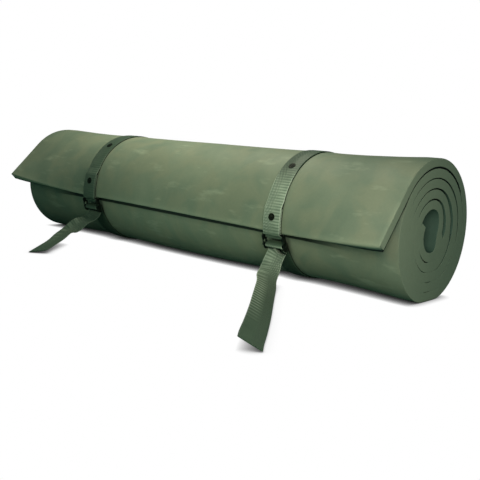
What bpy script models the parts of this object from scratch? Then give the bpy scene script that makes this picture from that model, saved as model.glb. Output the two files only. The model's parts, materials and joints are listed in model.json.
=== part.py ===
"""Rolled foam sleeping mat, strapped by two lengths of webbing with slide-bar buckles.

The roll lies along X on the floor plane Z = 0. Its free outer edge, the buckles and the loose
strap ends are on the front, towards -Y. Positions on the roll are given by the turn angle t,
which is 0 at the top and grows towards the back, so that one full turn is 2 pi. The flap that
laps over the front has negative angles. Lengths are in metres.
"""

import math

import bmesh
import bpy
from mathutils import Matrix, Vector

# Foam mat
MAT_WIDTH = 0.600
FOAM = 0.0090
TURN_GAP = 0.0010
TURNS = 4.82
CORE_RADIUS = 0.0183
CORE_BACK_RADIUS = 0.0100
CORE_BACK_TO_END = 0.56
FRONT_SNUG = 0.00045
NEAR_FLARE = 0.0036
FAR_FLARE = 0.0026
FLARE_LIP = 0.015
BELLY = 0.0025
FLOOR_CUT = 0.0005
FACETS_PER_TURN = 28
SHORTEST_FACET = 0.2

# Flap: length of foam from the top of the roll to its free edge, and where its corners leave the roll
FLAP_LENGTH = 0.1150
FLAP_SLANT = 0.0050
FLAP_BOW = 0.0030
FLAP_LEAVES = math.radians(41.0)
FLAP_LEAVES_SLANT = math.radians(3.0)
FLAP_LIFT_BETWEEN = 0.12

# Webbing; each strap's middle has its distance from the end of the mat that it is near
NEAR_STRAP_FROM_END = 0.1435
FAR_STRAP_FROM_END = 0.1500
WEB_WIDTH = 0.022
WEB = 0.0015
LAYER_GAP = 0.00045
CLEAR = 0.0003
FOLD_OVERHANG = 0.008
FOLD_STEP = 0.008
GRIP_MARGIN = 0.003
SMALL_BEND_FILL = 0.95

# Buckle frame and slide bar, along the strap (v) and out from the roll (w)
BUCKLE_LEAN = math.radians(12.0)
BUCKLE_SINK = 0.0020
PLATE = 0.0015
TOP_BAR = 0.0030
BOTTOM_BAR = 0.0027
WALL = 0.0014
WALL_HEIGHT = 0.0070
WEB_SIDE_ROOM = 0.0016
WINDOW_SIDE_ROOM = 0.0008
EDGE_ROUND = 0.0004
SLIDE_BAR_DIAMETER = 0.0026
SLIDE_TRAVEL = 0.0040
SLIDE_HEAD_DIAMETER = 0.0042
SLIDE_HEAD_THICKNESS = 0.0008
BAR_TURN_STEPS = 8

# Eyelets and washers
EYELET_FLANGE = 0.0080
EYELET_BARREL = 0.0042
EYELET_HOLE = 0.0034
EYELET_DOME = 0.0010
WASHER_DIAMETER = 0.0080
WASHER_THICKNESS = 0.0006
BARREL_ROLL = 0.0005
RECESS_FLOOR_GAP = 0.0001
ROUND_FACETS = 16

# Section of an eyelet's flange: way from bore to rim, and height, each as a share of the whole
EYELET_CROWN = ((0.0, 0.70), (0.09, 1.0), (0.55, 0.85), (1.0, 0.20))

# Distance of each strap's lower and upper eyelet from the flap's free edge
EYELETS_FROM_EDGE = {"near": (0.0146, 0.0690), "far": (0.0177, 0.0681)}

# Loose ends: points from the buckle's lower edge on, as distances from that edge across and
# out from the roll, and the share of the fall to the floor that is left there
TAIL_POINTS = {
    "near": (
        (-0.0030, 0.000, 0.77),
        (-0.0045, -0.003, 0.51),
        (-0.0025, -0.009, 0.27),
        (0.0045, -0.022, 0.10),
        (0.0200, -0.041, 0.01),
        (0.0530, -0.085, 0.00),
        (0.0860, -0.129, 0.00),
        (0.1150, -0.169, 0.00),
        (0.1325, -0.194, 0.00),
        (0.1430, -0.208, 0.00),
    ),
    "far": (
        (0.000, -0.006, 0.79),
        (-0.004, -0.018, 0.62),
        (-0.009, -0.026, 0.46),
        (-0.012, -0.033, 0.34),
        (-0.010, -0.044, 0.23),
        (0.001, -0.062, 0.10),
        (0.024, -0.094, 0.02),
        (0.040, -0.114, 0.00),
    ),
}
# Turn of the ribbon in plan and lean of its face where it lies; the right edge is the higher one
# where the lean is positive, the left edge where it is negative
TAIL_TWIST = {
    "near": (math.radians(41.0), math.radians(-28.0)),
    "far": (math.radians(37.0), math.radians(9.0)),
}
TWISTED_BY = 0.35
TAIL_STEP = 0.008
FLOOR_ROOM = 0.0002
CURVE_STEPS = 12

# Modelling aids: how far a cutter reaches past what it cuts, and from what angle an edge is sharp
OVERCUT = 0.002
SHARP_ANGLE = math.radians(40.0)

# Derived sizes of the roll
LAP = FOAM + TURN_GAP
FACET = 2.0 * math.pi / FACETS_PER_TURN
TOP_RADIUS = CORE_RADIUS + LAP * TURNS
SLACK_TURN = TURNS - CORE_BACK_TO_END
CORE_SLACK = TOP_RADIUS - LAP * SLACK_TURN - CORE_BACK_RADIUS
ON_MAT = FOAM / 2 + CLEAR + WEB / 2
LAYER = WEB + LAYER_GAP
NEAR_STRAP_AT = MAT_WIDTH / 2 - NEAR_STRAP_FROM_END
FAR_STRAP_AT = MAT_WIDTH / 2 - FAR_STRAP_FROM_END
STRAP_AT = {"near": NEAR_STRAP_AT, "far": -FAR_STRAP_AT}
GRIP = WEB_WIDTH / 2 + GRIP_MARGIN
FLARE_END = MAT_WIDTH / 2 - FLARE_LIP

# Derived sizes of the buckle
WRAP_RADIUS = SLIDE_BAR_DIAMETER / 2 + CLEAR + WEB / 2
FRAME_INSIDE = WEB_WIDTH + 2 * WEB_SIDE_ROOM
FRAME_WIDTH = FRAME_INSIDE + 2 * WALL
WINDOW_WIDTH = WEB_WIDTH + 2 * WINDOW_SIDE_ROOM
FOLD_V = TOP_BAR + CLEAR + WEB / 2
BAR_V = TOP_BAR + CLEAR + WEB + SLIDE_TRAVEL + WRAP_RADIUS + WEB / 2
WINDOW_END = BAR_V + WRAP_RADIUS + WEB / 2 + CLEAR
FRAME_LENGTH = WINDOW_END + BOTTOM_BAR
SLOT_HEIGHT = SLIDE_BAR_DIAMETER + 2 * CLEAR
BAR_W = PLATE + SLOT_HEIGHT / 2 + CLEAR
BEHIND = -(CLEAR + WEB / 2)
IN_FRONT = PLATE + CLEAR + WEB / 2

COLLECTION_NAME = "rolled_sleeping_mat"
CUTTERS_NAME = "cutters"


def clear_scene():
    """Remove every object and collection of the open scene."""
    for obj in list(bpy.data.objects):
        bpy.data.objects.remove(obj, do_unlink=True)
    for collection in list(bpy.data.collections):
        bpy.data.collections.remove(collection)


def new_collection(name, hidden):
    """Return a collection linked to the scene; a hidden one is left out of renders."""
    collection = bpy.data.collections.new(name)
    collection.hide_render = hidden
    bpy.context.scene.collection.children.link(collection)
    return collection


def material(name, colour, roughness, metallic):
    """Return a plain surface of one colour."""
    made = bpy.data.materials.new(name)
    made.use_nodes = True
    shader = made.node_tree.nodes["Principled BSDF"]
    shader.inputs["Base Color"].default_value = (*colour, 1.0)
    shader.inputs["Roughness"].default_value = roughness
    shader.inputs["Metallic"].default_value = metallic
    return made


def add_object(name, mesh, collection, surface=None):
    """Put a mesh in a collection as an object, with its surface."""
    obj = bpy.data.objects.new(name, mesh)
    collection.objects.link(obj)
    if surface is not None:
        mesh.materials.append(surface)
    return obj


def add_cutter(name, mesh):
    """Add an object that only cuts others."""
    obj = add_object(name, mesh, bpy.data.collections[CUTTERS_NAME])
    obj.hide_render = True
    obj.display_type = "WIRE"
    return obj


def cut(obj, cutter):
    """Take the cutter's volume away from the object."""
    boolean = obj.modifiers.new("cut " + cutter.name, "BOOLEAN")
    boolean.operation = "DIFFERENCE"
    boolean.solver = "EXACT"
    boolean.object = cutter


def box_mesh(name, low, high):
    """Return a box between two corners."""
    bm = bmesh.new()
    bmesh.ops.create_cube(bm, size=1.0)
    for vert in bm.verts:
        for axis in range(3):
            vert.co[axis] = low[axis] if vert.co[axis] < 0 else high[axis]
    mesh = bpy.data.meshes.new(name)
    bm.to_mesh(mesh)
    bm.free()
    return mesh


def turned_mesh(name, profile, facets=ROUND_FACETS):
    """Return a closed turned body from (radius, height) points, given clockwise seen from the front."""
    bm = bmesh.new()
    verts = [bm.verts.new((radius, 0.0, height)) for radius, height in profile]
    for first, second in zip(verts, verts[1:] + verts[:1]):
        if first.co.x > 0 or second.co.x > 0:
            bm.edges.new((first, second))
    outline = bpy.data.meshes.new(name + "_profile")
    bm.to_mesh(outline)
    bm.free()
    helper = add_object(name + "_profile", outline, bpy.data.collections[CUTTERS_NAME])
    screw = helper.modifiers.new("turn", "SCREW")
    screw.steps = facets
    screw.render_steps = facets
    screw.use_merge_vertices = True
    screw.merge_threshold = 0.000001
    graph = bpy.context.evaluated_depsgraph_get()
    mesh = bpy.data.meshes.new_from_object(helper.evaluated_get(graph))
    bpy.data.objects.remove(helper, do_unlink=True)
    mesh.name = name
    mesh.shade_smooth()
    mesh.set_sharp_from_angle(angle=SHARP_ANGLE)
    return mesh


def strip_mesh(name, rows):
    """Return an open sheet through rows of points, one row for each cross-section."""
    bm = bmesh.new()
    grid = [[bm.verts.new(point) for point in row] for row in rows]
    for row, following in zip(grid, grid[1:]):
        for i in range(len(row) - 1):
            bm.faces.new((row[i], row[i + 1], following[i + 1], following[i]))
    bmesh.ops.recalc_face_normals(bm, faces=bm.faces)
    mesh = bpy.data.meshes.new(name)
    bm.to_mesh(mesh)
    bm.free()
    mesh.shade_smooth()
    mesh.set_sharp_from_angle(angle=SHARP_ANGLE)
    return mesh


def thicken(obj, thickness):
    """Give an open sheet its thickness, half to each side."""
    solidify = obj.modifiers.new("thickness", "SOLIDIFY")
    solidify.thickness = thickness
    solidify.offset = 0.0
    solidify.use_even_offset = True


def grip(x):
    """Return the distances from mid-length between which the strap on this side holds the foam."""
    centre = NEAR_STRAP_AT if x > 0 else FAR_STRAP_AT
    return centre - GRIP, centre + GRIP


def flare(x):
    """Extra radius where the strap's grip ends and the roll opens towards its ends."""
    start = grip(x)[1]
    share = min(max((abs(x) - start) / (FLARE_END - start), 0.0), 1.0)
    return (NEAR_FLARE if x > 0 else FAR_FLARE) * share**2


def belly(x):
    """How far the roll sags to the floor between the straps."""
    return BELLY * max(0.0, 1.0 - (x / grip(x)[0]) ** 2)


def roll_point(t, x):
    """Return (y, z) of the foam's mid-thickness, with the axis at the origin's height."""
    n = t / (2 * math.pi)
    back = ((1 + math.sin(t)) / 2) ** 3
    front = ((1 - math.sin(t)) / 2) ** 3
    slack = CORE_SLACK * (n / SLACK_TURN) ** 3 * back if n > 0 else 0.0
    radius = TOP_RADIUS - LAP * n - slack + FRONT_SNUG * n * front + flare(x)
    sag = belly(x) * ((1 - math.cos(t)) / 2) ** 2
    return Vector((radius * math.sin(t), radius * math.cos(t) - sag))


def axis_height():
    """Height of the roll's axis at which the straps below it just clear the floor."""
    under_strap = -roll_point(math.pi + FACET / 2, NEAR_STRAP_AT).y
    return under_strap + ON_MAT + WEB / 2 + FLOOR_ROOM


def flap_tip_angle(x):
    """Turn angle at which the flap, if it lay on the roll, would reach its free edge."""
    side = x / (MAT_WIDTH / 2)
    length = FLAP_LENGTH + FLAP_SLANT * side + FLAP_BOW * side**2
    growth = LAP / (4 * math.pi)
    return -(math.sqrt(TOP_RADIUS**2 + 4 * growth * length) - TOP_RADIUS) / (2 * growth)


def whole_flap_facets():
    """Number of facets that the flap has along its whole edge before the last, shorter one."""
    shortest = min(-flap_tip_angle(x) for x in row_places())
    return int(shortest / FACET - 0.5 - SHORTEST_FACET) + 1


def row_places():
    """X of the foam's cross-sections: close together where the shape changes."""
    places = [0.0]
    for sign in (-1, 1):
        inner, outer = grip(sign)
        half = [inner, outer, (outer + FLARE_END) / 2, FLARE_END, MAT_WIDTH / 2]
        places += [sign * x for x in half]
    return sorted(places)


def turn_angles(x):
    """Turn angles of the foam's facet edges, from the flap's free edge to the core."""
    first = whole_flap_facets()
    last = round(TURNS * FACETS_PER_TURN - 0.5)
    return [flap_tip_angle(x)] + [(k + 0.5) * FACET for k in range(-first, last + 1)]


def lift_share(x):
    """How far the flap's free part straightens: 0 under a strap, 1 at the roll's ends."""
    inner, outer = grip(x)
    if abs(x) < inner:
        return FLAP_LIFT_BETWEEN * (1 - (x / inner) ** 2)
    return max(0.0, (abs(x) - outer) / (MAT_WIDTH / 2 - outer))


def turned_by(vector, angle):
    """Return a 2D vector turned anticlockwise."""
    return Matrix.Rotation(angle, 2) @ vector


def mat_line(x):
    """Return the foam's mid-thickness at this cross-section as (y, z) points above the floor."""
    angles = turn_angles(x)
    line = [roll_point(t, x) for t in angles]
    height = axis_height()
    for i, t in enumerate(angles):
        turn = math.floor(t / (2 * math.pi))
        line[i].y += height
        if turn >= 0:
            line[i].y = max(line[i].y, FOAM / 2 - FLOOR_CUT + turn * LAP)
    leaves = math.pi / 2 - (FLAP_LEAVES - FLAP_LEAVES_SLANT * x / (MAT_WIDTH / 2))
    share = lift_share(x)
    free = [i for i, t in enumerate(angles) if t < 0]
    steps = [line[i - 1] - line[i] for i in reversed(free) if i > 0]
    place = line[free[-1]].copy()
    for i, step in zip(reversed(free), steps):
        middle = -(angles[i] + angles[i - 1]) / 2
        place = place + turned_by(step, -share * max(0.0, middle - leaves))
        line[i - 1] = place.copy()
    return line


def offset_line(line, distance):
    """Return the line moved outward from the roll, its facets kept parallel."""
    normals = []
    for first, second in zip(line, line[1:]):
        along = (second - first).normalized()
        normals.append(Vector((-along.y, along.x)))
    moved = [line[0] + normals[0] * distance]
    for i in range(1, len(line) - 1):
        both = normals[i - 1] + normals[i]
        moved.append(line[i] + both * distance / (1 + normals[i - 1].dot(normals[i])))
    moved.append(line[-1] + normals[-1] * distance)
    return moved


class Seat:
    """The roll's facets at one cross-section, as something to lay a strap or an eyelet on."""

    def __init__(self, x):
        self.x = x
        self.angles = turn_angles(x)
        self.line = mat_line(x)

    def from_edge(self, distance):
        """Return the turn angle at this distance from the flap's free edge."""
        return self.angles[0] + distance / TOP_RADIUS

    def facet(self, t):
        """Return the number of the facet at this turn angle."""
        inside = [i for i, angle in enumerate(self.angles[:-1]) if angle <= t]
        return inside[-1] if inside else 0

    def outward(self, t):
        """Return the facet's outward direction at this turn angle."""
        i = self.facet(t)
        along = (self.line[i + 1] - self.line[i]).normalized()
        return Vector((-along.y, along.x))

    def at(self, t, distance):
        """Return (y, z) on the facet at this turn angle, that far out from the foam's mid-thickness."""
        i = self.facet(t)
        share = (t - self.angles[i]) / (self.angles[i + 1] - self.angles[i])
        return self.line[i].lerp(self.line[i + 1], share) + self.outward(t) * distance

    def edges(self, first, last, distance):
        """Return the facet edges between two turn angles, that far out from the mid-thickness."""
        moved = offset_line(self.line, distance)
        return [p for p, t in zip(moved, self.angles) if first < t < last]


def rounded(points, radii, steps=5):
    """Return a 2D path through corner points, each corner rounded to its radius."""
    path = [points[0]]
    for i in range(1, len(points) - 1):
        corner, radius = points[i], radii[i]
        back = (points[i - 1] - corner).normalized()
        ahead = (points[i + 1] - corner).normalized()
        angle = back.angle(ahead)
        if radius == 0 or math.pi - angle < 1e-4:
            path.append(corner)
            continue
        reach = radius / math.tan(angle / 2)
        centre = corner + (back + ahead).normalized() * radius / math.sin(angle / 2)
        first = corner + back * reach - centre
        sweep = first.angle_signed(corner + ahead * reach - centre)
        for k in range(steps + 1):
            path.append(centre + turned_by(first, -sweep * k / steps))
    path.append(points[-1])
    return path


class Buckle:
    """Place of one buckle: its frame hangs from the strap's fold just below the flap's edge."""

    def __init__(self, seat):
        self.x = seat.x
        turn = seat.angles[0] + math.pi / 2 - BUCKLE_LEAN
        self.down = Vector((-math.sin(turn), -math.cos(turn)))
        self.out = Vector((-math.cos(turn), math.sin(turn)))
        corner = offset_line(seat.line, FOAM / 2)[0]
        face_lean = seat.outward(seat.angles[0]).angle(self.out)
        depth = BUCKLE_SINK + CLEAR + WEB
        drop = depth * math.tan(face_lean) + 2 * CLEAR + WEB
        self.top = corner + self.down * drop - self.out * BUCKLE_SINK

    def at(self, v, w):
        """Return (y, z) of a point of the frame's own section."""
        return self.top + self.down * v + self.out * w

    def strap_leaves(self):
        """Turn angle at which the strap leaves the foam, in a straight line to the frame."""
        arrives = self.at(FRAME_LENGTH, BEHIND - LAYER) - Vector((0.0, axis_height()))
        turn = 1.5 * math.pi + math.atan2(arrives.y, -arrives.x)
        on_mat = -roll_point(turn, self.x).x / math.cos(turn - 1.5 * math.pi) + ON_MAT
        return turn - math.acos(min(1.0, on_mat / arrives.length))

    def matrix(self):
        """Return the frame's place: local x across, y up the strap, z out, at the top bar's centre."""
        pivot = self.at(TOP_BAR / 2, PLATE / 2)
        across = Vector((1.0, 0.0, 0.0))
        up = Vector((0.0, -self.down.x, -self.down.y))
        out = Vector((0.0, self.out.x, self.out.y))
        turn = Matrix((across, up, out)).transposed().to_4x4()
        return Matrix.Translation((self.x, pivot.x, pivot.y)) @ turn


def local_box(name, x, v, w):
    """Return a box in the frame's own axes, from (low, high) pairs across, down and out."""
    pivot_v, pivot_w = TOP_BAR / 2, PLATE / 2
    low = (x[0], pivot_v - v[1], w[0] - pivot_w)
    high = (x[1], pivot_v - v[0], w[1] - pivot_w)
    return box_mesh(name, low, high)


def build_frame(name, pivot, surface, collection):
    """Pressed frame: a base with one window, and two side walls with slots for the slide bar."""
    half, inside, past = FRAME_WIDTH / 2, FRAME_INSIDE / 2, OVERCUT
    body = local_box(name, (-half, half), (0, FRAME_LENGTH), (0, WALL_HEIGHT))
    frame = add_object(name, body, collection, surface)
    slot = (BAR_V - SLIDE_TRAVEL - SLOT_HEIGHT / 2, BAR_V + SLOT_HEIGHT / 2)
    window = WINDOW_WIDTH / 2
    cuts = {
        "channel": ((-inside, inside), (-past, FRAME_LENGTH + past), (PLATE, WALL_HEIGHT + past)),
        "window": ((-window, window), (TOP_BAR, WINDOW_END), (-past, PLATE + past)),
        "slots": ((-half - past, half + past), slot, (BAR_W - SLOT_HEIGHT / 2, BAR_W + SLOT_HEIGHT / 2)),
    }
    frame.parent = pivot
    for part, sides in cuts.items():
        cutter = add_cutter(f"{name}_{part}", local_box(f"{name}_{part}", *sides))
        cutter.parent = pivot
        cut(frame, cutter)
    bevel = frame.modifiers.new("edges", "BEVEL")
    bevel.width = EDGE_ROUND
    bevel.segments = 1
    bevel.limit_method = "ANGLE"
    return frame


def build_slide_bar(name, pivot, surface, collection):
    """Round bar with a head outside each side wall."""
    radius, head = SLIDE_BAR_DIAMETER / 2, SLIDE_HEAD_DIAMETER / 2
    shoulder = FRAME_WIDTH / 2 + CLEAR
    end = shoulder + SLIDE_HEAD_THICKNESS
    profile = [(0, end), (head, end), (head, shoulder), (radius, shoulder)]
    profile += [(radius, -shoulder), (head, -shoulder), (head, -end), (0, -end)]
    bar = add_object(name, turned_mesh(name, profile), collection, surface)
    bar.parent = pivot
    bar.rotation_euler = (0.0, math.pi / 2, 0.0)
    bar.location = (0.0, TOP_BAR / 2 - BAR_V, BAR_W - PLATE / 2)
    return bar


def band_path(seat, buckle, lower_eyelet):
    """Return the strap's mid-line from its folded end to below the buckle, as (y, z) points."""
    fold_end = seat.from_edge(lower_eyelet + FOLD_OVERHANG)
    step_end = fold_end + FOLD_STEP / TOP_RADIUS
    tip = seat.angles[0]
    inner = [seat.at(fold_end, ON_MAT)] + seat.edges(tip, fold_end, ON_MAT)[::-1]
    edge = seat.at(tip, ON_MAT)
    along = (edge - inner[-1]).normalized()
    corner = edge + along * (CLEAR + WEB / 2)
    down_face = buckle.at(BEHIND, BEHIND)
    turn_in = buckle.at(FOLD_V, BEHIND)
    turn_out = buckle.at(FOLD_V, IN_FRONT)
    outer_corner = corner + seat.outward(tip) * LAYER + along * LAYER / 2
    small, points, radii = CLEAR + WEB / 2, list(inner), [0.0] * len(inner)
    points += [corner, down_face, turn_in, turn_out, buckle.at(TOP_BAR / 3, IN_FRONT), outer_corner]
    tight = small * SMALL_BEND_FILL
    radii += [small, small / 2, tight, tight, small * 2, small * 2]
    over_fold = seat.edges(tip, fold_end, ON_MAT + LAYER) + [seat.at(fold_end, ON_MAT + LAYER)]
    round_roll = seat.edges(step_end, buckle.strap_leaves() + FACET / 2, ON_MAT)
    flat = over_fold + [seat.at(step_end, ON_MAT)] + round_roll
    points += flat
    radii += [0.0] * len(flat)
    inbound = BEHIND - LAYER
    points += [buckle.at(FRAME_LENGTH, inbound), buckle.at(BAR_V - WRAP_RADIUS, inbound)]
    radii += [WRAP_RADIUS * 3, WRAP_RADIUS * 0.8]
    for k in range(BAR_TURN_STEPS + 1):
        a = math.pi * k / BAR_TURN_STEPS
        points.append(buckle.at(BAR_V - WRAP_RADIUS * math.cos(a), BAR_W + WRAP_RADIUS * math.sin(a)))
        radii.append(0.0)
    points += [buckle.at(BAR_V + WRAP_RADIUS, BEHIND), buckle.at(FRAME_LENGTH, BEHIND)]
    radii += [small, 0.0]
    return rounded(points, radii)


def smooth_curve(points, step):
    """Return points every step along a smooth curve through the given ones."""
    ends = [points[0] * 2 - points[1]] + points + [points[-1] * 2 - points[-2]]
    fine = []
    for p0, p1, p2, p3 in zip(ends, ends[1:], ends[2:], ends[3:]):
        for k in range(CURVE_STEPS):
            s = k / CURVE_STEPS
            bend = (p0 * 2 - p1 * 5 + p2 * 4 - p3) * s**2 + (p1 * 3 - p0 - p2 * 3 + p3) * s**3
            fine.append((p1 * 2 + (p2 - p0) * s + bend) / 2)
    fine.append(points[-1])
    length = sum((b - a).length for a, b in zip(fine, fine[1:]))
    count = max(2, round(length / step))
    path, walked, i = [fine[0]], 0.0, 0
    for k in range(1, count):
        target = length * k / count
        while walked + (fine[i + 1] - fine[i]).length < target:
            walked += (fine[i + 1] - fine[i]).length
            i += 1
        share = (target - walked) / (fine[i + 1] - fine[i]).length
        path.append(fine[i].lerp(fine[i + 1], share))
    return path + [fine[-1]]


def tail_sections(side, start, before):
    """Return the loose end as (point, across) pairs; it falls to the floor and lies on it."""
    plan_turn, lean = TAIL_TWIST[side]
    lies_at = WEB_WIDTH / 2 * abs(math.sin(lean)) + WEB / 2 + FLOOR_ROOM
    route = [before, start]
    for dx, dy, left in TAIL_POINTS[side]:
        height = lies_at + (start.z - lies_at) * left
        route.append(Vector((start.x + dx, start.y + dy, height)))
    path = [p for p in smooth_curve(route, TAIL_STEP) if (p - before).length > (start - before).length]
    sections = []
    for i, point in enumerate(path):
        share = math.sin(min((i + 1) / len(path) / TWISTED_BY, 1.0) * math.pi / 2)
        turn, tilt = plan_turn * share, lean * share
        flat = Vector((math.cos(turn), math.sin(turn), 0.0))
        across = flat * math.cos(tilt) + Vector((0.0, 0.0, math.sin(tilt)))
        ahead = (path[min(i + 1, len(path) - 1)] - path[max(i - 1, 0)]).normalized()
        across = (across - ahead * across.dot(ahead)).normalized()
        lowest = WEB_WIDTH / 2 * abs(across.z) + WEB / 2 + FLOOR_ROOM
        point.z = max(point.z, lowest)
        sections.append((point, across))
    return sections


def build_strap(side, seat, buckle, surface, collection):
    """One length of webbing: fold, band round the roll, turn round the slide bar, loose end."""
    across = Vector((1.0, 0.0, 0.0))
    band = band_path(seat, buckle, EYELETS_FROM_EDGE[side][0])
    sections = [(Vector((seat.x, p.x, p.y)), across) for p in band]
    sections += tail_sections(side, sections[-1][0], sections[-2][0])
    rows = [(p - u * WEB_WIDTH / 2, p + u * WEB_WIDTH / 2) for p, u in sections]
    name = f"{side}_strap"
    strap = add_object(name, strip_mesh(name, rows), collection, surface)
    thicken(strap, WEB)
    length = sum((b[0] - a[0]).length for a, b in zip(sections, sections[1:]))
    tail = sum((b[0] - a[0]).length for a, b in zip(sections[len(band) - 1 :], sections[len(band) :]))
    print(f"{name}: {length:.3f} m of webbing, of which {tail:.3f} m hang free below the buckle")
    return strap


def build_mat(surface, collection):
    """Rolled foam sheet, cut flat where it stands."""
    rows = [[Vector((x, p.x, p.y)) for p in mat_line(x)] for x in row_places()]
    mat = add_object("foam_mat", strip_mesh("foam_mat", rows), collection, surface)
    thicken(mat, FOAM)
    side = MAT_WIDTH
    below = box_mesh("floor_cut", (-side, -side, -FOAM), (side, side, 0.0))
    cut(mat, add_cutter("floor_cut", below))
    return mat


def seated_matrix(seat, t, distance):
    """Return the place of a turned part on a facet: its z axis points out of the roll."""
    point, out = seat.at(t, distance), seat.outward(t)
    across = Vector((1.0, 0.0, 0.0))
    normal = Vector((0.0, out.x, out.y))
    turn = Matrix((across, normal.cross(across), normal)).transposed().to_4x4()
    return Matrix.Translation((seat.x, point.x, point.y)) @ turn


def build_eyelet(side, place, seat, from_edge, layers, mat, strap, surfaces, collection):
    """Eyelet through the webbing and the flap, its washer behind, and the hole for both."""
    at = seated_matrix(seat, seat.from_edge(from_edge), 0.0)
    face = ON_MAT + WEB / 2 + (layers - 1) * LAYER
    bore, barrel, flange = EYELET_HOLE / 2, EYELET_BARREL / 2, EYELET_FLANGE / 2
    back = -FOAM / 2 + RECESS_FLOOR_GAP
    under = back + BARREL_ROLL
    washer_low = under + CLEAR
    washer_high = washer_low + WASHER_THICKNESS
    roof = washer_high + CLEAR
    rolled = (barrel + WASHER_DIAMETER / 2) / 2
    rim = face + CLEAR
    profile = [(bore + (flange - bore) * way, rim + EYELET_DOME * height) for way, height in EYELET_CROWN]
    profile += [(flange, rim), (barrel, rim), (barrel, under), (rolled, under), (rolled, back), (bore, back)]
    name = f"{side}_{place}_eyelet"
    eyelet = add_object(name, turned_mesh(name, profile), collection, surfaces["eyelet"])
    eyelet.matrix_world = at
    hole = barrel + CLEAR
    ring = [(hole, washer_high), (WASHER_DIAMETER / 2, washer_high)]
    ring += [(WASHER_DIAMETER / 2, washer_low), (hole, washer_low)]
    name = f"{side}_{place}_washer"
    washer = add_object(name, turned_mesh(name, ring), collection, surfaces["washer"])
    washer.matrix_world = at
    recess = WASHER_DIAMETER / 2 + CLEAR
    below = -FOAM / 2 - RECESS_FLOOR_GAP * 2
    drill = [(0, face + FOAM), (hole, face + FOAM), (hole, roof), (recess, roof), (recess, below), (0, below)]
    cutter = add_cutter(f"{side}_{place}_drill", turned_mesh(f"{side}_{place}_drill", drill))
    cutter.matrix_world = at
    cut(mat, cutter)
    cut(strap, cutter)


def least_gap_between_turns():
    """Return the smallest clear distance between neighbouring turns, over every cross-section."""
    least = math.inf
    for x in row_places() + list(STRAP_AT.values()):
        line = mat_line(x)
        apart = FACETS_PER_TURN // 2
        for i, point in enumerate(line):
            for j in range(i + apart, len(line) - 1):
                start, end = line[j], line[j + 1]
                run = end - start
                share = min(max((point - start).dot(run) / run.length_squared, 0.0), 1.0)
                least = min(least, (point - start - run * share).length - FOAM)
    return least


def developed_length():
    """Return the length of the foam sheet when it is rolled out."""
    line = mat_line(0.0)
    return sum((b - a).length for a, b in zip(line, line[1:]))


def main():
    clear_scene()
    parts = new_collection(COLLECTION_NAME, hidden=False)
    new_collection(CUTTERS_NAME, hidden=True)
    foam = material("foam", (0.115, 0.150, 0.085), 0.85, 0.0)
    webbing = material("webbing", (0.130, 0.180, 0.110), 0.75, 0.0)
    steel = material("blackened_steel", (0.020, 0.028, 0.022), 0.38, 1.0)
    brass = material("blackened_brass", (0.030, 0.034, 0.028), 0.42, 1.0)
    mat = build_mat(foam, parts)
    for side, x in STRAP_AT.items():
        seat = Seat(x)
        buckle = Buckle(seat)
        strap = build_strap(side, seat, buckle, webbing, parts)
        pivot = bpy.data.objects.new(f"{side}_buckle_axis", None)
        parts.objects.link(pivot)
        pivot.matrix_world = buckle.matrix()
        build_frame(f"{side}_buckle_frame", pivot, steel, parts)
        build_slide_bar(f"{side}_slide_bar", pivot, steel, parts)
        lower, upper = EYELETS_FROM_EDGE[side]
        surfaces = {"eyelet": brass, "washer": brass}
        build_eyelet(side, "lower", seat, lower, 2, mat, strap, surfaces, parts)
        build_eyelet(side, "upper", seat, upper, 1, mat, strap, surfaces, parts)
        bar = pivot.matrix_world @ Vector((0.0, TOP_BAR / 2 - BAR_V, BAR_W - PLATE / 2))
        print(f"{side} buckle hinges at {tuple(round(v, 5) for v in pivot.matrix_world.translation)}")
        print(f"{side} slide bar at {tuple(round(v, 5) for v in bar)}")
        up_strap = (0.0, round(-buckle.down.x, 5), round(-buckle.down.y, 5))
        print(f"{side} slide bar travels along {up_strap}")
    print(f"least gap between turns {least_gap_between_turns() * 1000:.2f} mm")
    print(f"foam sheet {developed_length():.3f} m long, roll's axis {axis_height():.5f} m above the floor")


main()
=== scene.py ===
"""Looks of a rolled closed-cell foam sleeping mat, held by two webbing straps with slide-bar buckles.

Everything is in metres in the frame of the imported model. The roll lies along X on the floor plane
Z = 0, and its flap, buckles and loose strap ends are on the front, towards -Y. A place on the roll
is given by the turn angle, 0 at the top and growing towards the back, negative on the flap.
"""

import ast
import json
import logging
import math
import textwrap
from dataclasses import dataclass, field
from enum import Enum

import bmesh
import bpy
import numpy as np
from bpy.types import ID, Material, Mesh, Node, NodeSocket, NodeTree, Object
from mathutils import Matrix, Vector

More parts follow.
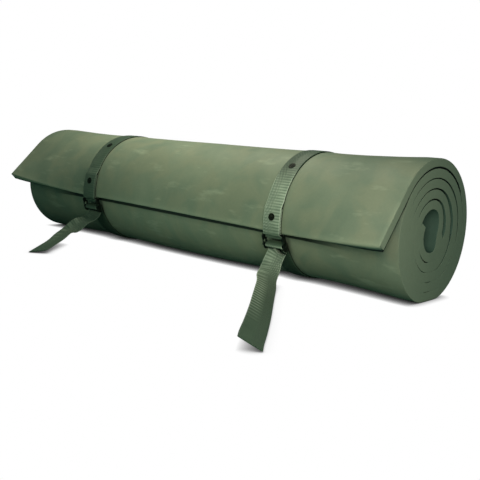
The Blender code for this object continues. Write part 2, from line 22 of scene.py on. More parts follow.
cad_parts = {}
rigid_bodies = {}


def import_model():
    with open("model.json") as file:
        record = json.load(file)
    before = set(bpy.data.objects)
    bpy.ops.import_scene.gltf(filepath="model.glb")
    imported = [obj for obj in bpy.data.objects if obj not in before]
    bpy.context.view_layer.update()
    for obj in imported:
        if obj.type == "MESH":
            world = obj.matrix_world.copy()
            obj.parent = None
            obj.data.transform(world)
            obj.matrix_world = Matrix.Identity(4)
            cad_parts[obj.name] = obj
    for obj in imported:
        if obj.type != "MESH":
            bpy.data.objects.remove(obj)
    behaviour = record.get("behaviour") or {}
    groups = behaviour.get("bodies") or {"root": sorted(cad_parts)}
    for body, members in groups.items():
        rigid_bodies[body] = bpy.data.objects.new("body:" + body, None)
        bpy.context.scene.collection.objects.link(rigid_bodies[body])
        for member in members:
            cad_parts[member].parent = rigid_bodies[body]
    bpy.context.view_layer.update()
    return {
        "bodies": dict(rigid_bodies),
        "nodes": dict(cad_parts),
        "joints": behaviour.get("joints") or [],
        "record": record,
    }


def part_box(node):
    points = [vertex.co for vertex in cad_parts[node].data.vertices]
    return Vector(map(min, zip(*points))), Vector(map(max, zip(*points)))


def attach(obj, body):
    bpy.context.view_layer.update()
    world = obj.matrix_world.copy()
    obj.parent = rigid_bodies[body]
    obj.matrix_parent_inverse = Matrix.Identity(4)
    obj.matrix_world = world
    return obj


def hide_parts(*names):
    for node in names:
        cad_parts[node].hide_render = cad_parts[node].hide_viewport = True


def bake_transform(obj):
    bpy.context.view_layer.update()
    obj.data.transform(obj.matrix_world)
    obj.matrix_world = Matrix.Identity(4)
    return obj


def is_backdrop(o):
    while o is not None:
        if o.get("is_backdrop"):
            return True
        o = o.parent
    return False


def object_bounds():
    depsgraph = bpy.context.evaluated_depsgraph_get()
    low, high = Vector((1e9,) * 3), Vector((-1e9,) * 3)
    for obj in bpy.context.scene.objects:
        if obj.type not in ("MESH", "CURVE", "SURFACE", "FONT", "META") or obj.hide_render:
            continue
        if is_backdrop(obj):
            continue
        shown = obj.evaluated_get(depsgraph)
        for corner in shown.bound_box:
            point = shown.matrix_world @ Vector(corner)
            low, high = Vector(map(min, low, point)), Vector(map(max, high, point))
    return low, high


log = logging.getLogger("sleeping_mat")

MM = 0.001
TAU = 2.0 * math.pi
Pair = tuple[float, float]
Triple = tuple[float, float, float]


class Side(Enum):
    """The two ends of the roll, by which its straps and buckles are named."""

    NEAR = "near"
    FAR = "far"


class Held(Enum):
    """How a stretch of webbing is held."""

    ROUND_ROLL = "band"
    UP_TO_BUCKLE = "lead"
    ROUND_BAR = "loop"
    LOOSE = "tail"


def linear(code: str) -> tuple[float, float, float, float]:
    """Turn an sRGB hex code into a linear colour.

    Args:
        code: Colour such as "#7b8a6c".

    Returns:
        Red, green, blue and alpha.
    """
    parts = [int(code[i : i + 2], 16) / 255 for i in (1, 3, 5)]
    red, green, blue = (c / 12.92 if c <= 0.04045 else ((c + 0.055) / 1.055) ** 2.4 for c in parts)
    return red, green, blue, 1.0


def clamped(value: float) -> float:
    """Return a value held between 0 and 1."""
    return min(max(value, 0.0), 1.0)


def placed(name: str, data: ID) -> Object:
    """Return a new object in the scene."""
    obj = bpy.data.objects.new(name, data)
    bpy.context.scene.collection.objects.link(obj)
    return obj


def applied(obj: Object) -> Mesh:
    """Return the mesh that an object's modifiers make, and take them off it."""
    graph = bpy.context.evaluated_depsgraph_get()
    mesh = bpy.data.meshes.new_from_object(obj.evaluated_get(graph))
    obj.modifiers.clear()
    return mesh


def face_outwards(mesh: Mesh, merge: float = 0.0) -> None:
    """Turn a closed mesh's faces outwards, after joining points nearer than merge."""
    bm = bmesh.new()
    bm.from_mesh(mesh)
    if merge:
        bmesh.ops.remove_doubles(bm, verts=bm.verts, dist=merge)
    bmesh.ops.recalc_face_normals(bm, faces=bm.faces)
    bm.to_mesh(mesh)
    bm.free()


def keep_values(mesh: Mesh, values: dict[str, list]) -> None:
    """Store a number or a vector at each point of a mesh, by name."""
    for label, numbers in values.items():
        single = isinstance(numbers[0], float)
        made = mesh.attributes.new(label, "FLOAT" if single else "FLOAT_VECTOR", "POINT")
        made.data.foreach_set("value" if single else "vector", np.array(numbers, np.float32).ravel())


def point_guide(name: str, points: list[Vector], joined: bool, **values: list) -> Mesh:
    """Return a guide mesh of points, joined into a line or loose, with values at each point."""
    mesh = bpy.data.meshes.new(name)
    edges = [(i, i + 1) for i in range(len(points) - 1)] if joined else []
    mesh.from_pydata([tuple(p) for p in points], edges, [])
    keep_values(mesh, values)
    return mesh


OPERATORS = {ast.Add: "ADD", ast.Sub: "SUBTRACT", ast.Mult: "MULTIPLY", ast.Div: "DIVIDE", ast.Pow: "POWER"}
FUNCTIONS = {
    "sin": "SINE",
    "cos": "COSINE",
    "max": "MAXIMUM",
    "min": "MINIMUM",
    "floor": "FLOOR",
    "above": "GREATER_THAN",
    "sign": "SIGN",
    "abs": "ABSOLUTE",
}


class Nodes:
    """A node tree, and the values that its formulas know by name."""

    def __init__(self, tree: NodeTree) -> None:
        """Keep the tree; its formulas know only tau so far."""
        self.tree = tree
        self.known: dict[str, NodeSocket | float] = {"tau": TAU}

    def fill(self, node: Node, inputs: dict) -> None:
        """Set or link a node's inputs, given by socket name or number."""
        for name, value in inputs.items():
            if isinstance(value, NodeSocket):
                self.tree.links.new(value, node.inputs[name])
            else:
                node.inputs[name].default_value = value

    def add(self, kind: str, inputs: dict | None = None, **settings) -> Node:
        """Add a node with its settings, and set or link its inputs.

        Args:
            kind: The node's type name.
            inputs: Socket name or number, and the value or the output socket that goes into it.
            settings: The node's own properties.

        Returns:
            The new node.
        """
        made = self.tree.nodes.new(kind)
        for name, value in settings.items():
            setattr(made, name, value)
        self.fill(made, inputs or {})
        return made

    def work_out(self, part: ast.expr) -> float | NodeSocket:
        """Turn a formula, or a part of one, into Math nodes and return its result."""
        if isinstance(part, ast.Constant):
            return float(part.value)
        if isinstance(part, ast.Name):
            return self.known[part.id]
        if isinstance(part, ast.BinOp):
            kind, parts = OPERATORS[type(part.op)], [part.left, part.right]
        elif part.func.id == "clamp":
            return self.add("ShaderNodeClamp", {0: self.work_out(part.args[0])}).outputs[0]
        else:
            kind, parts = FUNCTIONS[part.func.id], part.args
        values = dict(enumerate(self.work_out(p) for p in parts))
        return self.add("ShaderNodeMath", values, operation=kind).outputs[0]

    def let(self, rules: str) -> NodeSocket:
        """Work out rules of plain arithmetic and make each result known by its name.

        Args:
            rules: One rule to a line, such as "height = radius * cos(turn)".

        Returns:
            The last rule's result.
        """
        for rule in ast.parse(textwrap.dedent(rules)).body:
            found = self.known[rule.targets[0].id] = self.work_out(rule.value)
        return found


class ShapeTree(Nodes):
    """A Geometry Nodes tree with named sizes, which makes pieces out of plain guide meshes."""

    def __init__(self, name: str, sizes: dict[str, float]) -> None:
        """Make the tree with one input for each size.

        Args:
            name: Name of the tree.
            sizes: Input names and their usual values.
        """
        super().__init__(bpy.data.node_groups.new(name, "GeometryNodeTree"))
        face = self.tree.interface
        face.new_socket("Geometry", in_out="INPUT", socket_type="NodeSocketGeometry")
        self.identifiers = {}
        for label, value in sizes.items():
            socket = face.new_socket(label, in_out="INPUT", socket_type="NodeSocketFloat")
            socket.default_value = value
            self.identifiers[label] = socket.identifier
        finish = face.new_socket("Finish", in_out="INPUT", socket_type="NodeSocketMaterial")
        self.identifiers["Finish"] = finish.identifier
        face.new_socket("Geometry", in_out="OUTPUT", socket_type="NodeSocketGeometry")
        self.entry = self.add("NodeGroupInput")
        self.known |= {label.lower().replace(" ", "_"): self.entry.outputs[label] for label in sizes}

    def read(self, *names: str, kind: str = "FLOAT") -> None:
        """Make attributes of the guide mesh known to the formulas by their names."""
        for name in names:
            made = self.add("GeometryNodeInputNamedAttribute", {"Name": name}, data_type=kind)
            self.known[name] = made.outputs["Attribute"]

    def place(self, *names: str) -> NodeSocket:
        """Make the parts of a point's place known by these names, and return the place."""
        place = self.add("GeometryNodeInputPosition").outputs[0]
        self.known |= zip(names, self.add("ShaderNodeSeparateXYZ", {0: place}).outputs)
        return place

    def vector(self, x: str, y: str, z: str) -> NodeSocket:
        """Return a vector whose parts are the results of three formulas."""
        parts = {i: self.work_out(ast.parse(text).body[0].value) for i, text in enumerate((x, y, z))}
        return self.add("ShaderNodeCombineXYZ", parts).outputs[0]

    def scaled(self, name: str, rule: str) -> NodeSocket:
        """Return a known vector made as many times longer as a rule says."""
        inputs = {0: self.known[name], "Scale": self.let(rule)}
        return self.add("ShaderNodeVectorMath", inputs, operation="SCALE").outputs[0]

    def store(self, geometry: NodeSocket, name: str, value: NodeSocket, kind: str = "FLOAT") -> NodeSocket:
        """Return a geometry whose points carry a value under a name."""
        inputs = {"Geometry": geometry, "Name": name, "Value": value}
        return self.add("GeometryNodeStoreNamedAttribute", inputs, data_type=kind, domain="POINT").outputs[0]

    def circle(self, points: int) -> NodeSocket:
        """Return a circle of radius 1."""
        return self.add("GeometryNodeCurvePrimitiveCircle", {"Resolution": points, "Radius": 1.0}).outputs[0]

    def end(self, geometry: NodeSocket) -> None:
        """Finish the tree: real geometry, smooth shading and the finish."""
        real = self.add("GeometryNodeRealizeInstances", {"Geometry": geometry}).outputs[0]
        smooth = self.add("GeometryNodeSetShadeSmooth", {"Geometry": real}).outputs[0]
        finish = {"Geometry": smooth, "Material": self.entry.outputs["Finish"]}
        last = self.add("GeometryNodeSetMaterial", finish).outputs[0]
        self.add("NodeGroupOutput", {"Geometry": last})

    def make(self, name: str, guide: Mesh, finish: Material, **sizes: float) -> Object:
        """Run the tree on a guide mesh and keep the result as a plain mesh.

        Args:
            name: Name of the piece.
            guide: Mesh that the tree starts from.
            finish: Material of the piece.
            sizes: Inputs that differ from their usual values, by their names.

        Returns:
            The piece, at the origin.
        """
        obj = placed(name, guide)
        modifier = obj.modifiers.new("shape", "NODES")
        modifier.node_group = self.tree
        modifier[self.identifiers["Finish"]] = finish
        for label, value in sizes.items():
            modifier[self.identifiers[label.replace("_", " ").capitalize()]] = value
        obj.data = applied(obj)
        obj.data.name = name
        return obj


class ShaderTree(Nodes):
    """The nodes of a material or of the world, with short ways to add those that all of them use."""

    def __init__(self, owner: ID, shader: str = "Principled BSDF") -> None:
        """Take over the nodes of a new material or world."""
        owner.use_nodes = True
        super().__init__(owner.node_tree)
        self.owner = owner
        self.shader = self.tree.nodes[shader]

    def read(self, *names: str) -> None:
        """Make attributes of the piece known to the formulas by their names."""
        for name in names:
            self.known[name] = self.add("ShaderNodeAttribute", attribute_name=name).outputs["Fac"]

    def noise(self, place: NodeSocket, scale: float, **inputs: float) -> NodeSocket:
        """Return a noise pattern, with its other inputs by their names in small letters."""
        named = {label.capitalize(): value for label, value in inputs.items()}
        return self.add("ShaderNodeTexNoise", {"Vector": place, "Scale": scale, **named}).outputs["Fac"]

    def ranged(self, value: NodeSocket, source: Pair, target: Pair = (0.0, 1.0)) -> NodeSocket:
        """Return a value carried from one range over to another, and held at its ends."""
        ends = dict(enumerate((*source, *target), start=1))
        return self.add("ShaderNodeMapRange", {"Value": value, **ends}).outputs[0]

    def mix(self, share: float | NodeSocket, *tones: str | NodeSocket, **settings: str) -> NodeSocket:
        """Return a colour between two tones, each given as a hex code or a socket."""
        ends = {i: linear(tone) if isinstance(tone, str) else tone for i, tone in enumerate(tones, start=6)}
        return self.add("ShaderNodeMix", {0: share, **ends}, data_type="RGBA", **settings).outputs[2]

    def bump(self, height: NodeSocket, strength: float, distance: float, **inputs: NodeSocket) -> NodeSocket:
        """Return the normals of a surface raised by a pattern."""
        inputs |= {"Height": height, "Strength": strength, "Distance": distance}
        return self.add("ShaderNodeBump", inputs).outputs[0]

    def end(self, inputs: dict) -> ID:
        """Set or link the shader's inputs, and return what the nodes belong to."""
        self.fill(self.shader, inputs)
        return self.owner


@dataclass(frozen=True)
class ClosedCellFoam:
    """Expanded closed-cell foam, slit from a block: matt and soft to the eye, with a fine pimpled
    skin, faint cloudy tone changes and a few pale scuffs; where it is cut the cells lie open.
    The cells are drawn at 0.9 mm, a little coarser than real ones, so that they still show."""

    name: str = "closed_cell_foam_slit"
    skin: str = "#818a75"
    cloud: str = "#6d7b69"
    cloud_size: float = 70 * MM
    cloud_range: Pair = (0.36, 0.66)
    stain: str = "#8a8c74"
    stain_scale: float = 31.0
    stain_range: Pair = (0.42, 0.62)
    scuff: str = "#a2aa92"
    scuff_scale: float = 2.2
    scuff_stretch: Triple = (9.0, 34.0, 9.0)
    scuff_slant: Triple = (0.0, 0.0, 0.3)
    scuff_range: Pair = (0.58, 0.72)
    patches_cover: Pair = (0.0, 0.5)
    cut: str = "#8d967f"
    # Painted shade: the darker tone of the inner turns, the near-black of dark lines and gaps, and the painted
    # shadow band under the flap's free edge.
    inner_shade: str = "#496154"
    shade_black: str = "#090f0b"
    crevice_reach: float = 3.5 * MM
    crevice_range: Pair = (0.28, 0.78)
    rim_range: Pair = (0.12, 0.4)
    band: float = 6.8 * MM
    band_above: float = 2.0 * MM
    band_fades_in: float = 1 / 1200
    band_share: float = 0.9
    cell: float = 0.9 * MM
    speckle_tone: Pair = (0.975, 1.025)
    noise_range: Pair = (0.3, 0.7)
    roughness: Pair = (0.57, 0.70)
    specular: float = 0.35

    def material(self) -> Material:
        """Return the node material."""
        nodes = ShaderTree(bpy.data.materials.new(self.name))
        known = nodes.known
        sheet = nodes.add("ShaderNodeAttribute", attribute_name="flat").outputs["Vector"]
        # Cloudy changes, warm stains and slanting pale scuffs: a used skin without any one mark.
        clouds = nodes.noise(sheet, 1 / self.cloud_size, detail=3.0, roughness=0.55)
        colour = nodes.mix(nodes.ranged(clouds, self.cloud_range), self.skin, self.cloud)
        stains = nodes.noise(sheet, self.stain_scale, detail=2.0, distortion=0.6)
        colour = nodes.mix(nodes.ranged(stains, self.stain_range, self.patches_cover), colour, self.stain)
        drawn_out = {"Vector": sheet, "Scale": self.scuff_stretch, "Rotation": self.scuff_slant}
        slanting = nodes.add("ShaderNodeMapping", drawn_out).outputs[0]
        scuffs = nodes.noise(slanting, self.scuff_scale, detail=4.0, roughness=0.6)
        colour = nodes.mix(nodes.ranged(scuffs, self.scuff_range, self.patches_cover), colour, self.scuff)
        # Edges worn pale by rubbing and open cut faces; the inner turns and the free edge's cut face are
        # darkened as painted shade.
        nodes.read("chafed", "cut", "inside", "rim", "beneath", "hugged")
        for label, tone in (("chafed", self.scuff), ("cut", self.cut), ("inside", self.inner_shade)):
            colour = nodes.mix(known[label], colour, tone)
        # Painted shade: dark lines round the cut ends, and a painted shadow in the corner under the flap's
        # free edge.
        known["rim"] = nodes.ranged(known["rim"], self.rim_range)
        known |= {"band": self.band, "band_above": self.band_above, "band_share": self.band_share}
        known["sharpness"] = 1 / self.band_fades_in
        dark = nodes.let(
            """
            under_edge = clamp((band - beneath) * sharpness) * above(beneath + band_above, 0)
            dark = max(rim, under_edge * hugged * band_share)
            """
        )
        colour = nodes.mix(dark, colour, self.shade_black)
        grain = nodes.noise(sheet, 0.35 / self.cell, detail=2.0)
        speckle = nodes.ranged(grain, self.noise_range, self.speckle_tone)
        colour = nodes.mix(1.0, colour, speckle, blend_type="MULTIPLY")
        # Painted shade: an occlusion node darkens the colour nearly to black in the gaps between the turns and
        # other tight corners.
        reach = {"Distance": self.crevice_reach}
        openness = nodes.add("ShaderNodeAmbientOcclusion", reach, samples=8).outputs["AO"]
        colour = nodes.mix(nodes.ranged(openness, self.crevice_range), self.shade_black, colour)
        scale = {"Vector": sheet, "Scale": 1 / self.cell}
        cells = nodes.add("ShaderNodeTexVoronoi", scale, feature="SMOOTH_F1").outputs["Distance"]
        pimpled = nodes.bump(cells, 0.05, 0.3 * MM)
        looks = {
            "Base Color": colour,
            "Roughness": nodes.ranged(clouds, self.noise_range, self.roughness),
            "Specular IOR Level": self.specular,
            "Normal": nodes.bump(clouds, 0.25, 4 * MM, Normal=pimpled),
        }
        return nodes.end(looks)


@dataclass(frozen=True)
class WovenWebbing:
    """Heavy narrow webbing, woven with raised ribs across: spun yarn that catches the light on each rib and
    stays dark between, with slanting picks; both drawn a little coarser than the real yarn. The ribs stand at
    3.1 mm. Painted highlights: highlit stretches are drawn in paler yarn, with glints on the crests and a pale
    line along the selvedges, and on the loose end every third rib is drawn pale."""

    name: str = "webbing_ribbed_weave"
    yarn: str = "#435642"
    # Painted highlights: the paler yarn and groove of highlit stretches, and the glint colour.
    faded_yarn: str = "#869480"
    groove: str = "#27382e"
    faded_groove: str = "#526455"
    glint: str = "#b6c1ac"
    rib_pitch: float = 3.1 * MM
    pick_pitch: float = 2.1 * MM
    cross_picks: float = 1.3
    ribs_to_glint: int = 3
    fibre_scale: float = 900.0
    wear_scale: float = 60.0
    shade_range: Pair = (0.18, 0.66)
    roughness: float = 0.58
    width: float = 22 * MM
    selvedge: float = 0.9 * MM

    def material(self) -> Material:
        """Return the node material."""
        nodes = ShaderTree(bpy.data.materials.new(self.name))
        nodes.read("along", "sideways", "faded", "crisp", "streaked")
        known = nodes.known
        place = nodes.add("ShaderNodeCombineXYZ", {0: known["along"], 1: known["sideways"]}).outputs[0]
        known["fibre"] = nodes.noise(place, self.fibre_scale, detail=2.0)
        known["worn"] = nodes.noise(place, self.wear_scale, detail=3.0)
        known["ribs"] = TAU / self.rib_pitch
        known["streaks"] = known["ribs"] / self.ribs_to_glint
        known["picks"] = TAU / self.pick_pitch
        known["crossing"] = known["picks"] * self.cross_picks
        known["to_left"] = 0.9 / (self.width / 4)
        known["edge_at"] = self.width / 2 - self.selvedge
        # Picks hatch the left half, plain worn ribs fill the right one, fibre roughens both.
        height = nodes.let(
            """
            rib = 0.5 - 0.5 * cos(along * ribs)
            left = clamp(0.6 - sideways * to_left)
            slant = 0.5 + 0.5 * sin((sideways + along * 0.7) * picks)
            cross = 0.5 + 0.5 * sin((sideways * 0.35 - along) * crossing)
            hatch = slant * 0.75 + cross * 0.35
            pick = hatch * left + (1 - left) * (0.15 + worn)
            height = rib * (0.30 - 0.26 * left) + pick * (0.4 + 0.35 * left) + fibre * 0.35
            """
        )
        known["shade"] = nodes.ranged(height, self.shade_range)
        shade = nodes.let("tone = 0.55 + (shade - 0.55) * crisp")
        # Painted highlight: highlit stretches take a paler groove and yarn.
        groove = nodes.mix(known["faded"], self.groove, self.faded_groove)
        yarn = nodes.mix(known["faded"], self.yarn, self.faded_yarn)
        # Painted highlights: glint colour on the crests and along the selvedges of highlit stretches, and on
        # every third rib of the loose end.
        bright = nodes.let(
            """
            crests = max(pick * (0.4 + 0.6 * rib) - 0.3, 0) * worn * 2.6 * faded * crisp
            edges = above(abs(sideways), edge_at) * faded * 0.8
            rubbed = streaked * max(cos(along * streaks) + 0.2, 0) * (1 - left) * 0.6
            bright = min(crests + edges + rubbed, 1)
            """
        )
        looks = {
            "Base Color": nodes.mix(bright, nodes.mix(shade, groove, yarn), self.glint),
            "Roughness": self.roughness,
            "Specular IOR Level": 0.5,
            "Normal": nodes.bump(height, 0.9, 0.6 * MM),
        }
        return nodes.end(looks)


@dataclass(frozen=True)
class BlackedMetal:
    """Pressed metal, chemically blacked and oiled: near black with a green cast, satin, and worn a little
    brighter in patches."""

    name: str
    base: str = "#1b221d"
    rubbed: str = "#3a443c"
    roughness: float = 0.34
    metallic: float = 0.6
    specular: float = 0.5
    patch: float = 3.5 * MM
    patch_range: Pair = (0.52, 0.72)
    noise_range: Pair = (0.3, 0.7)

    def material(self) -> Material:
        """Return the node material."""
        nodes = ShaderTree(bpy.data.materials.new(self.name))
        place = nodes.add("ShaderNodeTexCoord").outputs["Object"]
        wear = nodes.noise(place, 1 / self.patch, detail=4.0, roughness=0.65)
        smoother = (self.roughness + 0.1, self.roughness - 0.08)
        looks = {
            "Base Color": nodes.mix(nodes.ranged(wear, self.patch_range), self.base, self.rubbed),
            "Roughness": nodes.ranged(wear, self.noise_range, smoother),
            "Metallic": self.metallic,
            "Specular IOR Level": self.specular,
            "Normal": nodes.bump(wear, 0.15, 0.2 * MM),
        }
        return nodes.end(looks)


@dataclass
class Roll:
    """The foam sheet and how it is rolled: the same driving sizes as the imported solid."""

    width: float = 0.600
    foam: float = 0.0090
    turn_gap: float = 0.0010
    turns: float = 4.82
    core_radius: float = 0.0183
    core_back_radius: float = 0.0100
    core_back_to_end: float = 0.56
    front_snug: float = 0.00045
    flares: dict[Side, float] = field(default_factory=lambda: {Side.NEAR: 0.0036, Side.FAR: 0.0026})
    flare_lip: float = 0.015
    belly: float = 0.0025
    flap_length: float = 0.1150
    flap_slant: float = 0.0050
    flap_bow: float = 0.0030
    flap_leaves: float = math.radians(41.0)
    flap_leaves_slant: float = math.radians(3.0)
    flap_lift_between: float = 0.12
    flap_last_part: float = -1.15
    grip: float = 0.014
    web: float = 0.0015
    web_width: float = 0.022
    clear: float = 0.0003
    floor_room: float = 0.0002
    facets_per_turn: int = 28
    strap_at: dict[Side, float] = field(default_factory=dict)
    edge_round: float = 0.00015
    recess: float = 0.0010
    ledge: float = 0.0006
    pinch: float = 0.0006
    pinch_reach: float = 0.0040
    uneven: float = 0.00035
    uneven_reach: float = 0.0150
    press_reach: float = 0.0020
    press_share: float = 0.95
    rest_reach: float = 0.0090
    # Painted shadow under the flap's free edge: full up to this distance from the middle, fading out over the
    # ease.
    hugged_to: float = 0.245
    hugged_ease: float = 0.05
    arc_step: float = 0.0026
    row_step: float = 0.0120
    row_least: float = 0.0008
    tight_at: float = 3.15
    give: float = 0.0016

    def __post_init__(self) -> None:
        """Read the straps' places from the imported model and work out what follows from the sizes."""
        for side in Side:
            low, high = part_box(f"{side.value}_buckle_frame")
            self.strap_at[side] = (low.x + high.x) / 2
        self.lap = self.foam + self.turn_gap
        self.top_radius = self.core_radius + self.lap * self.turns
        self.slack_turn = self.turns - self.core_back_to_end
        self.core_slack = self.top_radius - self.lap * self.slack_turn - self.core_back_radius
        self.on_mat = self.foam / 2 + self.clear + self.web / 2
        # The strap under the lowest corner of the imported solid's facets lies on the floor.
        lowest = math.pi + TAU / self.facets_per_turn / 2
        under = -self.grip_radius(lowest) * math.cos(lowest)
        self.axis_height = under + self.on_mat + self.web / 2 + self.floor_room

    def grip_radius(self, turn: float) -> float:
        """Radius of the foam's mid-thickness under a strap, on the outer turn."""
        front = ((1 - math.sin(turn)) / 2) ** 3
        return self.top_radius - self.lap * turn / TAU + self.front_snug * turn / TAU * front

    def side_of(self, x: float) -> Side:
        """Return the side of the roll on which x lies."""
        return Side.NEAR if x > 0 else Side.FAR

    def strap_off(self, x: float) -> float:
        """Distance of the nearest strap from the roll's middle."""
        return abs(self.strap_at[self.side_of(x)])

    def beside(self, x: float) -> float:
        """Distance from the edge of the nearest strap, negative under it."""
        return abs(abs(x) - self.strap_off(x)) - self.web_width / 2

    def flare(self, x: float) -> float:
        """Extra radius towards the roll's ends, and the soft swelling beside each strap."""
        stop = self.width / 2 - self.flare_lip - self.strap_off(x)
        share = clamped((abs(x) - self.strap_off(x) - self.grip) / (stop - self.grip))
        beside = self.beside(x) / self.pinch_reach
        swell = self.pinch * beside * math.exp(1 - beside) if beside > 0 else 0.0
        return self.flares[self.side_of(x)] * share**2 + swell

    def sag(self, x: float) -> float:
        """How far the roll sags to the floor between the straps."""
        return self.belly * max(0.0, 1.0 - (x / (self.strap_off(x) - self.grip)) ** 2)

    def lift(self, x: float) -> float:
        """How far the flap's free part straightens: 0 under a strap, 1 at the roll's ends."""
        inner, outer = self.strap_off(x) - self.grip, self.strap_off(x) + self.grip
        if abs(x) < inner:
            return self.flap_lift_between * (1 - (x / inner) ** 2)
        return max(0.0, (abs(x) - outer) / (self.width / 2 - outer))

    def leaves(self, x: float) -> float:
        """Angle past the top at which the flap leaves the roll."""
        return math.pi / 2 - (self.flap_leaves - self.flap_leaves_slant * x / (self.width / 2))

    def rest(self, x: float) -> float:
        """Least height of the foam's mid-thickness: the floor, or the strap that lies below."""
        away = clamped(self.beside(x) / self.rest_reach)
        ease = away * away * (3 - 2 * away)
        return self.foam / 2 + (self.clear + self.web + self.floor_room) * (1 - ease)

    def free(self, x: float) -> float:
        """How free the foam is to be uneven: 0 under a strap, 1 some way from it."""
        return clamped(self.beside(x) / self.uneven_reach)

    def hugged(self, x: float) -> float:
        """Strength of the painted shadow under the flap's free edge: full towards the middle, none near the
        ends.
        """
        return clamped((self.hugged_to - abs(x)) / self.hugged_ease)

    def under_web(self, x: float) -> float:
        """How far the foam swells up to the webbing that presses on it."""
        return self.clear * self.press_share * (1.0 - clamped(self.beside(x) / self.press_reach + 0.5))

    def flap_tip(self, x: float) -> float:
        """Turn angle at which the flap, if it lay on the roll, would reach its free edge."""
        side = x / (self.width / 2)
        length = self.flap_length + self.flap_slant * side + self.flap_bow * side**2
        growth = self.lap / (2 * TAU)
        return -(math.sqrt(self.top_radius**2 + 4 * growth * length) - self.top_radius) / (2 * growth)

    def places(self) -> list[float]:
        """X of the sheet's rows: close together beside the straps and at the ends."""
        half = self.width / 2
        found = set(np.arange(-half, half, self.row_step).tolist())
        for centre in self.strap_at.values():
            for away in (0, 6, 11, 12.5, 14.5, 17, 20, 24, 30, 38):
                found |= {centre + away * MM, centre - away * MM}
        for away in (2.2, 5, 9, 14, 20):
            found |= {half - away * MM, -half + away * MM}
        kept = [x for x in sorted(found) if abs(x) < half - 2 * MM]
        return [x for i, x in enumerate(kept) if i == 0 or x - kept[i - 1] > self.row_least]

    def turn_steps(self) -> list[float]:
        """Turn angles from where the flap's last part starts to the core, evenly spaced."""
        angles, turn = [], self.flap_last_part
        while turn < self.turns * TAU - 0.02:
            angles.append(turn)
            turn += self.arc_step / (self.top_radius - self.lap * turn / TAU)
        return angles + [self.turns * TAU]


